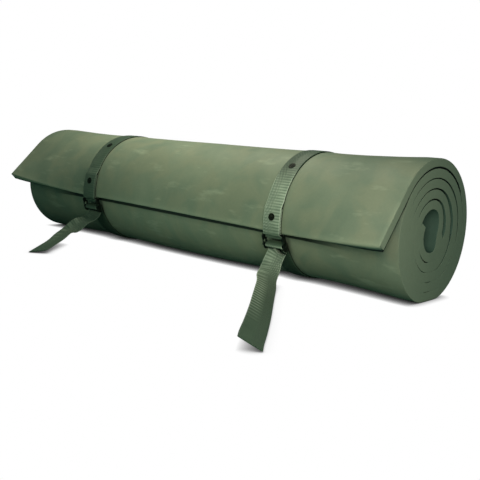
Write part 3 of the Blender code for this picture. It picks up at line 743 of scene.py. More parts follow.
@dataclass
class FoamMat:
    """The foam mat: a flat cut sheet with rounded edges, rolled up by nodes.

    Its points carry what the foam's finish reads: cut is 1 where the cells lie open, a share of painted shade
    darkens the inner turns and the free edge's cut face, rim is 1 on the painted dark shade line round a cut
    face, chafed is how pale an edge is worn by rubbing, beneath is the distance below the flap's free edge on
    the turn that it covers, where a painted shadow lies, and a last share sets how strongly that painted
    shadow shows."""

    roll: Roll
    finish: ClosedCellFoam
    chafe: float = 0.3
    chafe_width: float = 4.2 * MM
    rim: float = 1.3 * MM
    lip: float = 2.8 * MM
    lip_at_corner: float = 4.2 * MM
    lip_grows_from: float = 0.04
    lip_grows_over: float = 0.24
    # Painted shade on the free edge's cut face, strongest at the near corner.
    cut_face_shade: float = 0.9
    hidden_from: float = 0.3
    rim_until: float = 0.9
    chafe_narrows: float = 1.6
    uneven_scale: float = 18.0
    flap_steps: int = 24
    slope_step: float = 0.004

    @property
    def corner_steps(self) -> list[Pair]:
        """Points round an edge, out and down in its radii; the last one ends the painted dark shade line."""
        return [(0.0, 0.0), (0.6, 0.12), (0.88, 0.4), (1.0, 1.0), (1.0, self.rim / self.roll.edge_round)]

    def ring(self, xs: list[float]) -> list[Pair]:
        """Return x and z round the sheet's section, from the far end over the upper side."""
        half, end, radius = self.roll.foam / 2, self.roll.width / 2, self.roll.edge_round
        rim = [(end - radius * (1 - out), half - radius * down) for out, down in self.corner_steps]
        near = rim + [(x, -z) for x, z in reversed(rim)]
        far = [(-x, -z) for x, z in rim] + [(-x, z) for x, z in reversed(rim)]
        return [(x, half) for x in xs] + near + [(x, -half) for x in reversed(xs)] + far

    def points(self, ring: list[Pair]) -> tuple[list[Triple], dict[str, list[float]]]:
        """Return the sheet's points and what they carry.

        Args:
            ring: The sheet's section, which is repeated along its length.

        Returns:
            The points, one ring after the other from the free edge to the core, and their values.
        """
        roll, half, end = self.roll, self.roll.foam / 2, self.roll.width / 2
        corner, radius, steps = roll.edge_round, roll.top_radius, roll.turn_steps()
        tips = [roll.flap_tip(x) for x, _ in ring]
        lengths = [(tip - steps[0]) * radius for tip in tips]
        columns = [(True, k / self.flap_steps) for k in range(self.flap_steps)]
        columns += [(False, turn) for turn in steps]
        verts, values = [], {}
        for c, (on_flap, value) in enumerate(columns):
            at_cut = c in (0, len(columns) - 1)
            shrink = (half - corner) / half if at_cut else 1.0
            for i, ((x, z), tip) in enumerate(zip(ring, tips)):
                turn = tip + (steps[0] - tip) * value if on_flap else value
                if c:
                    lengths[i] += (turn - values["turn"][-len(ring)]) * (radius - roll.lap * turn / TAU)
                verts.append((x, lengths[i], z * shrink))
                # Painted shade: faces of the inner turns, where little light reaches, are marked for a darker
                # tone.
                hidden = abs(z) > half - corner / 4 and turn > (self.hidden_from if z < 0 else TAU)
                at_end = abs(x) > end - corner * 1.01 and z < self.rim * 0.9 - half
                from_edge = lengths[i] + (steps[0] - tip) * radius
                if turn <= steps[0]:
                    from_edge = min(from_edge, (end - abs(x)) * self.chafe_narrows)
                chafed = self.chafe * math.exp(-((from_edge / self.chafe_width) ** 2)) if z > 0 else 0.0
                # Painted shade: rim marks the dark line along the lower edge of the cut ends and under the
                # free edge; beneath places the painted shadow under the free edge.
                carried = {
                    "turn": turn,
                    "cut": float(at_cut or abs(x) > end - corner * 0.2),
                    "inside": float(hidden),
                    "rim": float((at_end and turn < self.rim_until) or (c == 0 and z < 0)),
                    "chafed": chafed,
                    "beneath": (TAU + tip - turn) * radius,
                }
                for label, number in carried.items():
                    values.setdefault(label, []).append(number)
        return verts, values

    def lower_lip(self, loop: list[int], under: list[int], verts: list, values: dict) -> list[int]:
        """Add the line along the free edge's face, below which it is painted dark as shade.

        Args:
            loop: Numbers of the points along the face's upper side.
            under: Numbers of the points opposite, along its lower side.
            verts: All points, to which the line's are added.
            values: What the points carry.

        Returns:
            Numbers of the line's points, with the ends of the lower side.
        """
        first = len(verts)
        for a, b in zip(loop[1:-1], under[1:-1]):
            x, y, z = verts[b]
            near = clamped((x - self.lip_grows_from) / self.lip_grows_over)
            verts.append((x, y, z + self.lip + (self.lip_at_corner - self.lip) * near))
            # Painted shade: the free edge's cut face is drawn darker towards the near corner.
            carried = {"turn": values["turn"][b], "cut": 1.0, "inside": self.cut_face_shade * near}
            carried |= {"rim": 0.0, "chafed": values["chafed"][a], "beneath": 1.0}
            for label, number in carried.items():
                values[label].append(number)
        return [under[0], *range(first, len(verts)), under[-1]]

    def flat_sheet(self) -> Mesh:
        """Return the sheet as cut: x along the roll, y along its length, z through it.

        Returns:
            A closed mesh whose points know their turn angle and how their row is to be rolled.
        """
        roll, xs = self.roll, self.roll.places()
        ring = self.ring(xs)
        verts, values = self.points(ring)
        count = len(ring)
        rows = [list(range(start, start + count)) for start in range(0, len(verts), count)]
        faces = []
        for first, second in zip(rows, rows[1:]):
            faces += zip(first, first[1:] + first[:1], second[1:] + second[:1], second)
        turned = len(self.corner_steps)
        upper = len(xs) + turned
        for row in (rows[0], rows[-1]):
            free_edge = row is rows[0]
            loop = row[-turned:] + row[:upper]
            middle = under = row[upper:-turned][::-1]
            if free_edge:
                middle = self.lower_lip(loop, under, verts, values)
                faces += [tuple(dict.fromkeys(f)) for f in zip(middle, middle[1:], under[1:], under)]
            for a, b, c, d in zip(loop, loop[1:], middle[1:], middle):
                faces.append((a, b, c, d) if free_edge else (a, d, c, b))
        for label in ("flare", "sag", "lift", "leaves", "rest", "free", "under_web", "hugged"):
            rule = getattr(roll, label)
            values[label] = [rule(x) for x, _ in ring] * len(rows)
            values[label] += [rule(x) for x, _, _ in verts[count * len(rows) :]]
        mesh = bpy.data.meshes.new("flat_sheet")
        mesh.from_pydata(verts, [], faces)
        keep_values(mesh, values)
        face_outwards(mesh)
        return mesh

    # The foam's mid-thickness at a turn angle: the spiral with its slack core, less the sag, and
    # past the place where the flap leaves the roll a flatter bend in its stead; never below the rest.
    LINE = """
        n = turn / tau
        back = ((1 + sin(turn)) / 2) ** 3
        front = ((1 - sin(turn)) / 2) ** 3
        slack = core_slack * (max(n, 0) / slack_turn) ** 3 * back
        radius = top_radius - lap * n - slack + front_snug * n * front + flare
        drop = sag * ((1 - cos(turn)) / 2) ** 2
        past = max(0 - turn - leaves, 0)
        reach = top_radius + lap * (leaves + past / 2) / tau + flare
        growth = lap / tau
        bend_half = (1 - lift) * past / 2 + 0.00001
        roll_half = past / 2 + 0.00001
        bend_run = past * sin(bend_half) / bend_half
        roll_run = past * sin(roll_half) / roll_half
        bend_mid = leaves + bend_half
        roll_mid = leaves + roll_half
        bend_y = bend_run * (reach * cos(bend_mid) + growth * sin(bend_mid))
        roll_y = roll_run * (reach * cos(roll_mid) + growth * sin(roll_mid))
        bend_z = bend_run * (reach * sin(bend_mid) - growth * cos(bend_mid))
        roll_z = roll_run * (reach * sin(roll_mid) - growth * cos(roll_mid))
        y = radius * sin(turn) - bend_y + roll_y
        height = axis_height + radius * cos(turn) - drop - bend_z + roll_z
        rests_at = rest + max(floor(n), 0) * lap
        above_it = height - rests_at
        z = rests_at + (above_it + (above_it * above_it + give * give) ** 0.5) / 2
        """

    # How far each face lies from the mid-thickness. Turns fill the gap between them where the roll
    # is pressed, but for short dashes below and a hollow near the core. The outer turn is uneven
    # where it is free and swells up to the webbing. At the ends the inner turns stand back in steps.
    SKIN = """
        dy = y_b - y_a
        dz = z_b - z_a
        size = (dy * dy + dz * dz) ** 0.5
        front = ((1 - sin(turn)) / 2) ** 3
        back = ((1 + sin(turn)) / 2) ** 3
        dash = clamp((cos(turn - 3.2) - 0.99) * 150) * (0.45 + 0.3 * cos(turn * 0.7))
        hollow = clamp((cos(turn - 3.75) - 0.9) * 12) * above(turn, 20.5)
        pressed = clamp(cos(turn - tight_at) * 2.6 + 1.9)
        tight = pressed * (1 - max(dash, hollow))
        is_out = above(through, 0)
        n = turn / tau
        loose_in = (max(n + 1, 0) ** 3 - max(n, 0) ** 3) * (1 - is_out)
        loose_out = (max(n, 0) ** 3 - max(n - 1, 0) ** 3) * is_out
        looser = core_slack * back * (loose_in + loose_out) / slack_turn ** 3
        low = clamp(cos(turn - 3.4) * 2.6 + 0.9)
        fill = (turn_gap / 2 - front_snug * front / 2 + 0.00008 + looser * low / 2) * tight
        out_fill = is_out * above(turn, tau)
        in_fill = (1 - is_out) * clamp((last_turn - tau - turn) * 3)
        outer_turn = is_out * above(6.28, turn)
        bumps = (noise - 0.5) * 2 * uneven * free * outer_turn
        side_on = clamp(cos(turn) + 0.9)
        w = through + fill * (out_fill - in_fill) + bumps * side_on + under_web * outer_turn
        near_end = clamp((abs(x) - half + 0.03) / 0.03) ** 2 * above(turn, 5.2)
        sunk = recess * clamp(turn / tau - 2.2) * max(sin(turn - 0.2), 0)
        stepped = ledge * (0.5 - 0.5 * cos(turn * 0.83))
        x_at = x - sign(x) * near_end * (sunk + stepped * (1 - pressed))
        """

    def line(self, tree: ShapeTree, away: str, tag: str) -> None:
        """Let the tree work out the mid-thickness a small turn away from each point.

        Args:
            tree: Tree that gets the formulas.
            away: The small turn, with its sign in front.
            tag: Ending of the names under which the place is known, y and z.
        """
        known = dict(tree.known)
        tree.let(f"turn = turn {away}")
        tree.let(self.LINE)
        known["y_" + tag], known["z_" + tag] = tree.known["y"], tree.known["z"]
        tree.known = known

    def tree(self) -> ShapeTree:
        """Return the tree that rolls the sheet up."""
        roll = self.roll
        own = "top_radius lap turn_gap core_slack slack_turn front_snug axis_height tight_at uneven give"
        names = f"{own} recess ledge".split()
        sizes = {name.replace("_", " ").capitalize(): getattr(roll, name) for name in names}
        sizes |= {"Last turn": roll.turns * TAU, "Half": roll.width / 2}
        made = ShapeTree("roll_up", sizes)
        made.read("turn", "flare", "sag", "lift", "leaves", "rest", "free", "under_web")
        self.line(made, f"- {self.slope_step}", "a")
        self.line(made, f"+ {self.slope_step}", "b")
        position = made.place("x", "run", "through")
        uneven = {"Vector": position, "Scale": self.uneven_scale, "Detail": 2.0}
        made.known["noise"] = made.add("ShaderNodeTexNoise", uneven).outputs["Fac"]
        made.let(self.SKIN)
        place = made.vector("x_at", "(y_a + y_b) / 2 - dz / size * w", "(z_a + z_b) / 2 + dy / size * w")
        kept = made.store(made.entry.outputs["Geometry"], "flat", position, "FLOAT_VECTOR")
        made.end(made.add("GeometryNodeSetPosition", {"Geometry": kept, "Position": place}).outputs[0])
        return made

    def build(self) -> Object:
        """Return the rolled mat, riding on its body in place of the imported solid."""
        mat = self.tree().make("rolled_foam_mat", self.flat_sheet(), self.finish.material())
        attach(mat, "mat")
        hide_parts("foam_mat")
        return mat


@dataclass
class Buckle:
    """A slide-bar buckle's section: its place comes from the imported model's joints."""

    side: Side
    joints: list[dict]
    plate: float = 0.0015
    top_bar: float = 0.0030
    bottom_bar: float = 0.0027
    bar_diameter: float = 0.0026
    travel: float = 0.0040
    web: float = 0.0015
    clear: float = 0.0003

    def __post_init__(self) -> None:
        """Work out the axes and the places that the webbing passes."""
        joints = {joint["name"]: joint for joint in self.joints}
        self.pivot = Vector(joints[f"{self.side.value}_buckle_tilt"]["pos_m"])
        self.up = Vector(joints[f"{self.side.value}_bar_slide"]["axis"]).normalized()
        self.out = Vector((0.0, -self.up.z, self.up.y))
        self.wrap = self.bar_diameter / 2 + self.clear + self.web / 2
        slot = self.bar_diameter + 2 * self.clear
        self.bar_v = self.top_bar + self.clear + self.web + self.travel + self.wrap + self.web / 2
        self.bar_w = self.plate + slot / 2 + self.clear
        self.length = self.bar_v + self.wrap + self.web / 2 + self.clear + self.bottom_bar
        self.fold_v = self.top_bar + self.clear + self.web / 2
        self.behind = -(self.clear + self.web / 2)
        self.in_front = self.plate + self.clear + self.web / 2

    def at(self, v: float, w: float) -> Vector:
        """Return (y, z) of a point v down from the frame's top edge and w out from its back."""
        place = self.pivot - self.up * (v - self.top_bar / 2) + self.out * (w - self.plate / 2)
        return Vector((place.y, place.z))


def rounded(route: list[tuple[Vector, float]], steps: int = 7) -> list[Vector]:
    """Return a 2D path through corner points, each corner rounded to its radius.

    Args:
        route: The corners, each with its radius; 0 keeps the corner.
        steps: Number of steps round a corner.

    Returns:
        The points of the path.
    """
    path = [route[0][0]]
    for (before, _), (corner, radius), (after, _) in zip(route, route[1:], route[2:]):
        back, ahead = (before - corner).normalized(), (after - corner).normalized()
        angle = back.angle(ahead)
        if radius == 0 or math.pi - angle < 1e-3:
            path.append(corner)
            continue
        reach = radius / math.tan(angle / 2)
        centre = corner + (back + ahead).normalized() * radius / math.sin(angle / 2)
        first = corner + back * reach - centre
        sweep = first.angle_signed(corner + ahead * reach - centre)
        path += [centre + Matrix.Rotation(-sweep * k / steps, 2) @ first for k in range(steps + 1)]
    path.append(route[-1][0])
    return path


def smooth_curve(points: list[Vector], step: float) -> list[Vector]:
    """Return points every step along a smooth curve through the given ones."""
    ends = [points[0] * 2 - points[1]] + points + [points[-1] * 2 - points[-2]]
    fine = []
    for p0, p1, p2, p3 in zip(ends, ends[1:], ends[2:], ends[3:]):
        for k in range(16):
            s = k / 16
            bend = (p0 * 2 - p1 * 5 + p2 * 4 - p3) * s**2 + (p1 * 3 - p0 - p2 * 3 + p3) * s**3
            fine.append((p1 * 2 + (p2 - p0) * s + bend) / 2)
    fine.append(points[-1])
    run = np.array([0.0] + [(b - a).length for a, b in zip(fine, fine[1:])]).cumsum()
    wanted = np.linspace(0.0, run[-1], max(2, round(run[-1] / step)) + 1)
    parts = [np.interp(wanted, run, [p[axis] for p in fine]) for axis in range(3)]
    return [Vector(p) for p in zip(*parts)]


@dataclass
class PressedFrame:
    """A buckle's frame as pressed: base with a window, side walls with slots, every edge broken."""

    buckle: Buckle
    finish: Material
    web_width: float = 0.022
    side_room: float = 0.0016
    window_room: float = 0.0008
    wall: float = 0.0014
    wall_height: float = 0.0058
    edge: float = 0.0003
    outer_corner: float = 0.0035
    inner_corner: float = 0.0012

    def plate_mesh(self, outlines: list[list[Vector]], thickness: float, place: Matrix) -> Mesh:
        """Return a plate with broken edges.

        Args:
            outlines: Closed outlines in 2D, the outer one and the holes.
            thickness: Thickness of the plate.
            place: Where the plate's own axes lie.

        Returns:
            A closed mesh.
        """
        curve = bpy.data.curves.new("outline", "CURVE")
        curve.dimensions = "2D"
        curve.fill_mode = "BOTH"
        curve.extrude = thickness / 2 - self.edge
        curve.bevel_depth = self.edge
        curve.bevel_resolution = 2
        curve.offset = -self.edge
        for outline in outlines:
            spline = curve.splines.new("POLY")
            spline.points.add(len(outline) - 1)
            for point, target in zip(spline.points, outline):
                point.co = (target.x, target.y, 0.0, 1.0)
            spline.use_cyclic_u = True
        helper = bpy.data.objects.new("outline", curve)
        mesh = bpy.data.meshes.new_from_object(helper)
        bpy.data.objects.remove(helper)
        mesh.transform(place)
        face_outwards(mesh, merge=0.01 * MM)
        return mesh

    def closed(self, low: Pair, high: Pair, radii: list[float]) -> list[Vector]:
        """Return a rectangle with rounded corners, from its lower left corner anticlockwise."""
        corners = [Vector(low), Vector((high[0], low[1])), Vector(high), Vector((low[0], high[1]))]
        middle = (corners[-1] + corners[0]) / 2
        return rounded([(middle, 0.0), *zip(corners, radii), (middle, 0.0)])[:-1]

    def plates(self) -> list[Mesh]:
        """Return the base and the two walls, round the pivot's axis."""
        b, inner, outer = self.buckle, self.inner_corner, self.outer_corner
        top, back = b.top_bar / 2, -b.plate / 2
        half = self.web_width / 2 + self.side_room + self.wall
        window = self.web_width / 2 + self.window_room
        base = self.closed((-half, top - b.length), (half, top), [outer, outer, inner, inner])
        hole = self.closed((-window, top - b.length + b.bottom_bar), (window, -top), [inner] * 4)
        side_radii = [inner, inner, outer * 0.7, outer]
        side = self.closed((top - b.length, back), (top, back + self.wall_height), side_radii)
        room = b.bar_diameter / 2 + b.clear
        level = b.bar_w - b.plate / 2
        slot_low = (top - b.bar_v - room, level - room)
        slot_high = (top - b.bar_v + b.travel + room, level + room)
        slot = self.closed(slot_low, slot_high, [room * 0.98] * 4)
        meshes = [self.plate_mesh([base, hole], b.plate, Matrix.Identity(4))]
        turn = Matrix(((0, 0, 1), (1, 0, 0), (0, 1, 0))).to_4x4()
        for sign in (-1, 1):
            at = Matrix.Translation((sign * (half - self.wall / 2), 0.0, 0.0)) @ turn
            meshes.append(self.plate_mesh([side, slot], self.wall, at))
        return meshes

    def build(self) -> Object:
        """Return the frame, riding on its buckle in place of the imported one."""
        b = self.buckle
        frame, *walls = [placed(f"{b.side.value}_pressed_frame", mesh) for mesh in self.plates()]
        for wall in walls:
            union = frame.modifiers.new("union", "BOOLEAN")
            union.operation = "UNION"
            union.solver = "EXACT"
            union.object = wall
        mesh = applied(frame)
        for wall in walls:
            bpy.data.objects.remove(wall)
        axes = Matrix((Vector((1.0, 0.0, 0.0)), b.up, b.out)).transposed().to_4x4()
        mesh.transform(Matrix.Translation(b.pivot) @ axes)
        mesh.shade_smooth()
        mesh.set_sharp_from_angle(angle=math.radians(40.0))
        mesh.materials.clear()
        mesh.materials.append(self.finish)
        frame.data = mesh
        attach(frame, f"{b.side.value}_buckle")
        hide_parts(f"{b.side.value}_buckle_frame")
        log.info("%s: %d faces", frame.name, len(mesh.polygons))
        return frame


@dataclass
class Section:
    """One cross-section of a strap: its middle, the direction across it and its outer face's."""

    middle: Vector
    across: Vector
    face: Vector


@dataclass
class Strap:
    """One length of webbing: fold, band round the roll, turn round the slide bar, loose end."""

    side: Side
    roll: Roll
    buckle: Buckle
    eyelets_from_edge: Pair
    tail_points: tuple[Triple, ...]
    plan_turn: float
    lean: float
    # Painted highlight: how strongly this strap is drawn highlit.
    faded: float
    ribbed: float
    crisp: float
    layer_gap: float = 0.00045
    fold_overhang: float = 0.008
    fold_step: float = 0.008
    twisted_by: float = 0.35
    step: float = 0.002

    @property
    def layer(self) -> float:
        """Distance from one layer of webbing to the next."""
        return self.roll.web + self.layer_gap

    @property
    def arrives(self) -> Vector:
        """(y, z) of the band where it reaches the buckle's lower end."""
        return self.buckle.at(self.buckle.length, self.buckle.behind - self.layer)

    def from_edge(self, distance: float) -> float:
        """Return the turn angle at this distance from the flap's free edge."""
        return self.roll.flap_tip(self.roll.strap_at[self.side]) + distance / self.roll.top_radius

    def on_roll(self, turn: float, distance: float) -> Vector:
        """Return (y, z) over the outer turn, that far out from the foam's mid-thickness."""
        radius = self.roll.grip_radius(turn) + distance
        height = self.roll.axis_height + radius * math.cos(turn)
        lowest = self.roll.floor_room + self.roll.web / 2
        return Vector((radius * math.sin(turn), max(height, lowest)))

    def leaves_at(self, target: Vector) -> float:
        """Return the turn angle at which the strap leaves the roll straight for a point."""
        away = target - Vector((0.0, self.roll.axis_height))
        turn = 1.5 * math.pi + math.atan2(away.y, -away.x)
        radius = self.roll.grip_radius(turn) + self.roll.on_mat
        return turn - math.acos(min(1.0, radius / away.length))

    def arc(self, start: float, stop: float, distance: float) -> list[tuple[Vector, float]]:
        """Return points over the outer turn between two turn angles, none to be rounded."""
        count = max(2, round(abs(stop - start) * self.roll.top_radius / self.step))
        turns = [start + (stop - start) * k / count for k in range(count + 1)]
        return [(self.on_roll(turn, distance), 0.0) for turn in turns]

    def band(self) -> list[Vector]:
        """Return the line from the fold's end round the top bar, back over the fold and round the roll."""
        roll, at = self.roll, self.buckle.at
        b = self.buckle
        fold_end = self.from_edge(self.eyelets_from_edge[0] + self.fold_overhang)
        step_end = fold_end + self.fold_step / roll.top_radius
        tip = roll.flap_tip(roll.strap_at[self.side])
        radial = Vector((math.sin(tip), math.cos(tip)))
        along = Vector((-radial.y, radial.x))
        small = roll.clear + roll.web / 2
        corner = self.on_roll(tip, roll.on_mat) + along * small
        round_bar = [
            (corner, small),
            (at(b.behind, b.behind), small / 2),
            (at(b.fold_v, b.behind), small * 0.95),
            (at(b.fold_v, b.in_front), small * 0.95),
            (at(b.top_bar / 3, b.in_front), small * 2),
            (corner + radial * self.layer + along * self.layer / 2, small * 2),
        ]
        folded = self.arc(fold_end, tip, roll.on_mat)
        over = self.arc(tip, fold_end, roll.on_mat + self.layer)
        round_roll = self.arc(step_end, self.leaves_at(self.arrives), roll.on_mat)
        return rounded(folded + round_bar + over + round_roll)

    def loop(self) -> list[Vector]:
        """Return the line round the slide bar, from where the band arrives to the loose end."""
        b, at = self.buckle, self.buckle.at
        route = [(self.arrives, 0.0), (at(b.bar_v - b.wrap, b.behind - self.layer), b.wrap * 0.8)]
        for k in range(13):
            a = math.pi * k / 12
            route.append((at(b.bar_v - b.wrap * math.cos(a), b.bar_w + b.wrap * math.sin(a)), 0.0))
        route.append((at(b.bar_v + b.wrap, b.behind), self.roll.clear + self.roll.web / 2))
        route.append((at(b.length, b.behind), 0.0))
        return rounded(route)

    def stretches(self) -> dict[Held, list[Section]]:
        """Return the strap's cross-sections, stretch by stretch.

        Returns:
            The sections of each stretch, in order from the folded end to the loose one.
        """
        band = self.band()
        lead = [band[-1].lerp(self.arrives, k / 8) for k in range(9)]
        paths = {Held.ROUND_ROLL: band, Held.UP_TO_BUCKLE: lead, Held.ROUND_BAR: self.loop()}
        found = {held: self.upright(path) for held, path in paths.items()}
        before, last = found[Held.ROUND_BAR][-2:]
        found[Held.LOOSE] = self.loose(before.middle, last)
        return found

    def upright(self, path: list[Vector]) -> list[Section]:
        """Return sections along a path in the plane of a strap, without twist."""
        x = self.roll.strap_at[self.side]
        kept = [path[0]]
        for point in path[1:]:
            if (point - kept[-1]).length > 1e-5:
                kept.append(point)
        across = Vector((1.0, 0.0, 0.0))
        sections = []
        for i, point in enumerate(kept):
            ahead = (kept[min(i + 1, len(kept) - 1)] - kept[max(i - 1, 0)]).normalized()
            face = Vector((0.0, -ahead.y, ahead.x))
            sections.append(Section(Vector((x, point.x, point.y)), across, face))
        return sections

    def loose(self, before: Vector, first: Section) -> list[Section]:
        """Return the loose end's sections: it falls to the floor and lies on it."""
        start, lies_flat = first.middle, self.roll.web / 2 + self.roll.floor_room
        lies_at = self.roll.web_width / 2 * abs(math.sin(self.lean)) + lies_flat
        route = [before, start]
        for dx, dy, left in self.tail_points:
            route.append(Vector((start.x + dx, start.y + dy, lies_at + (start.z - lies_at) * left)))
        line = smooth_curve(route, self.step * 2)
        path = [p for p in line if (p - before).length > (start - before).length + 1e-4]
        sections = [first]
        for i, point in enumerate(path):
            share = math.sin(min((i + 1) / len(path) / self.twisted_by, 1.0) * math.pi / 2)
            turn, tilt = self.plan_turn * share, self.lean * share
            flat = Vector((math.cos(turn), math.sin(turn), 0.0))
            across = flat * math.cos(tilt) + Vector((0.0, 0.0, math.sin(tilt)))
            back = path[i - 1] if i else start
            ahead = (path[min(i + 1, len(path) - 1)] - back).normalized()
            across = (across - ahead * across.dot(ahead)).normalized()
            point.z = max(point.z, self.roll.web_width / 2 * abs(across.z) + lies_flat)
            sections.append(Section(point, across, across.cross(ahead).normalized() * -1.0))
        return sections


@dataclass
class Webbing:
    """The straps' webbing: each stretch is swept along its sections by nodes, ribs and all.

    It is drawn highlit, as painted highlight, round a turn angle on the front, at the start of a loose end and
    on the bar. A loose end has landed when the share landed of its fall is left."""

    roll: Roll
    finish: WovenWebbing
    rib: float = 0.00022
    rib_round_bar: float = 0.2
    landed: float = 0.12
    # Painted highlights: where along the strap the webbing is drawn highlit, and how strongly.
    front_at: float = -1.32
    front_reach: float = 0.46
    tail_least: float = 0.04
    tail_fade: float = 0.62
    tail_reach: float = 0.070
    bar_fade: float = 1.5
    bar_highlight_at: float = 0.0188
    bar_highlight_reach: float = 0.0015
    streaks_peak: float = 0.8

    def __post_init__(self) -> None:
        """Make the tree and the material once for all stretches."""
        self.shape = self.tree()
        self.material = self.finish.material()

    def tree(self) -> ShapeTree:
        """Return the tree that sweeps a flat, ribbed section along a strap's line."""
        sizes = {
            "Width": self.roll.web_width,
            "Thickness": self.roll.web - 2 * self.rib,
            "Rib pitch": self.finish.rib_pitch,
            "Rib height": self.rib,
            "Start": 0.0,
            "Corner": 0.3,
        }
        made = ShapeTree("sweep_webbing", sizes)
        made.read("face", "across", kind="FLOAT_VECTOR")
        line = made.add("GeometryNodeMeshToCurve", {0: made.entry.outputs["Geometry"]}).outputs[0]
        spaced = {"Curve": line, "Length": made.let("fine_step = rib_pitch / 5")}
        fine = made.add("GeometryNodeResampleCurve", spaced, mode="LENGTH").outputs[0]
        facing = {"Curve": fine, "Normal": made.known["face"]}
        path = made.add("GeometryNodeSetCurveNormal", facing, mode="FREE").outputs[0]
        made.known["run"] = made.add("GeometryNodeSplineParameter").outputs["Length"]
        path = made.store(path, "along", made.let("along = run + start"))
        section = made.circle(28)
        made.place("cx", "cy", "cz")
        section = made.store(section, "sideways", made.let("sideways = cx * width / 2"))
        section = made.store(section, "skin", made.let("skin = sign(cy) * abs(cy) ** corner"))
        flat = {"Geometry": section, "Position": made.vector("skin * thickness / 2", "sideways", "0")}
        profile = made.add("GeometryNodeSetPosition", flat).outputs[0]
        along = {"Curve": path, "Profile Curve": profile, "Fill Caps": True}
        swept = made.add("GeometryNodeCurveToMesh", along).outputs[0]
        made.read("along", "skin", "sideways")
        made.let("wave = 0.5 - 0.5 * cos(along * tau / rib_pitch)")
        out = made.scaled("face", "rise = skin * rib_height * wave")
        aside = made.scaled("across", "notch = sideways / width * rib_height * (wave - 1) * 2")
        both = made.add("ShaderNodeVectorMath", {0: out, 1: aside}, operation="ADD").outputs[0]
        made.end(made.add("GeometryNodeSetPosition", {"Geometry": swept, "Offset": both}).outputs[0])
        return made

    def highlighting(self, strap: Strap, held: Held, sections: list[Section]) -> list[float]:
        """Return how much painted highlight the webbing gets at each section.

        Args:
            strap: The strap.
            held: Which stretch it is.
            sections: Its cross-sections.

        Returns:
            A share for each section: most on the front of the roll, less and less down the loose end.
        """
        found, run, before = [], 0.0, sections[0].middle
        for section in sections:
            run += (section.middle - before).length
            before = section.middle
            turn = math.atan2(before.y, before.z - self.roll.axis_height)
            if held is Held.LOOSE:
                share = self.tail_least + self.tail_fade * math.exp(-((run / self.tail_reach) ** 2))
            elif held is Held.ROUND_BAR:
                share = self.bar_fade * math.exp(-(((run - self.bar_highlight_at) / self.bar_highlight_reach) ** 2))
            elif held is Held.UP_TO_BUCKLE:
                share = 0.0
            else:
                share = math.exp(-(((turn - self.front_at) / self.front_reach) ** 4))
            found.append(share * strap.faded)
        return found

    def streaks(self, strap: Strap, held: Held, sections: list[Section]) -> list[float]:
        """Return how strongly some ribs are painted pale as a highlight at each section: only along a loose
        end.
        """
        count = len(sections)
        if held is not Held.LOOSE:
            return [0.0] * count
        shares = [math.sin(math.pi * min(i / count / self.streaks_peak, 1.0)) for i in range(count)]
        return [strap.faded * max(0.0, share) for share in shares]

    def landing(self, sections: list[Section]) -> Vector:
        """Return where a loose end has come down to the floor."""
        low = sections[-1].middle.z
        fall = sections[0].middle.z - low
        return next(s.middle for s in sections if s.middle.z - low < self.landed * fall)

    def length(self, sections: list[Section]) -> float:
        """Return the length of webbing through these sections."""
        return sum((b.middle - a.middle).length for a, b in zip(sections, sections[1:]))

    def stretch(self, strap: Strap, held: Held, sections: list[Section], start: float) -> Object:
        """Sweep one stretch; the stretch round the roll is put on the mat's body, the others are left in
        place.

        Args:
            strap: The strap.
            held: Which stretch it is.
            sections: Its cross-sections.
            start: Length of webbing before it, so that the ribs run on.

        Returns:
            The piece.
        """
        guide = point_guide(
            f"{strap.side.value}_{held.value}_line",
            [s.middle for s in sections],
            True,
            face=[tuple(s.face) for s in sections],
            across=[tuple(s.across) for s in sections],
            faded=self.highlighting(strap, held, sections),
            crisp=[strap.crisp] * len(sections),
            streaked=self.streaks(strap, held, sections),
        )
        name = f"{strap.side.value}_strap_{held.value}"
        rib = self.rib * (self.rib_round_bar if held is Held.ROUND_BAR else strap.ribbed)
        piece = self.shape.make(name, guide, self.material, Start=start, Rib_height=rib)
        buckle, first, last = f"{strap.side.value}_buckle", sections[0].middle, sections[-1].middle
        if held is Held.ROUND_ROLL:
            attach(piece, "mat")
            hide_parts(f"{strap.side.value}_strap")
        elif held is Held.UP_TO_BUCKLE:
            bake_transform(piece)
            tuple(first)
            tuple(last)
        elif held is Held.ROUND_BAR:
            section = strap.buckle
            low, high = section.at(section.length, section.behind), section.at(section.bar_v, section.behind)
            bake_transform(piece)
        else:
            self.landing(sections)
            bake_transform(piece)
            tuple(first)
        length = self.length(sections)
        log.info("%s: %.0f mm of webbing", name, length / MM)
        return piece

    def build(self, strap: Strap) -> float:
        """Make all stretches of a strap, and return the length of its webbing."""
        run = 0.0
        for held, sections in strap.stretches().items():
            self.stretch(strap, held, sections, run)
            run += self.length(sections)
        return run


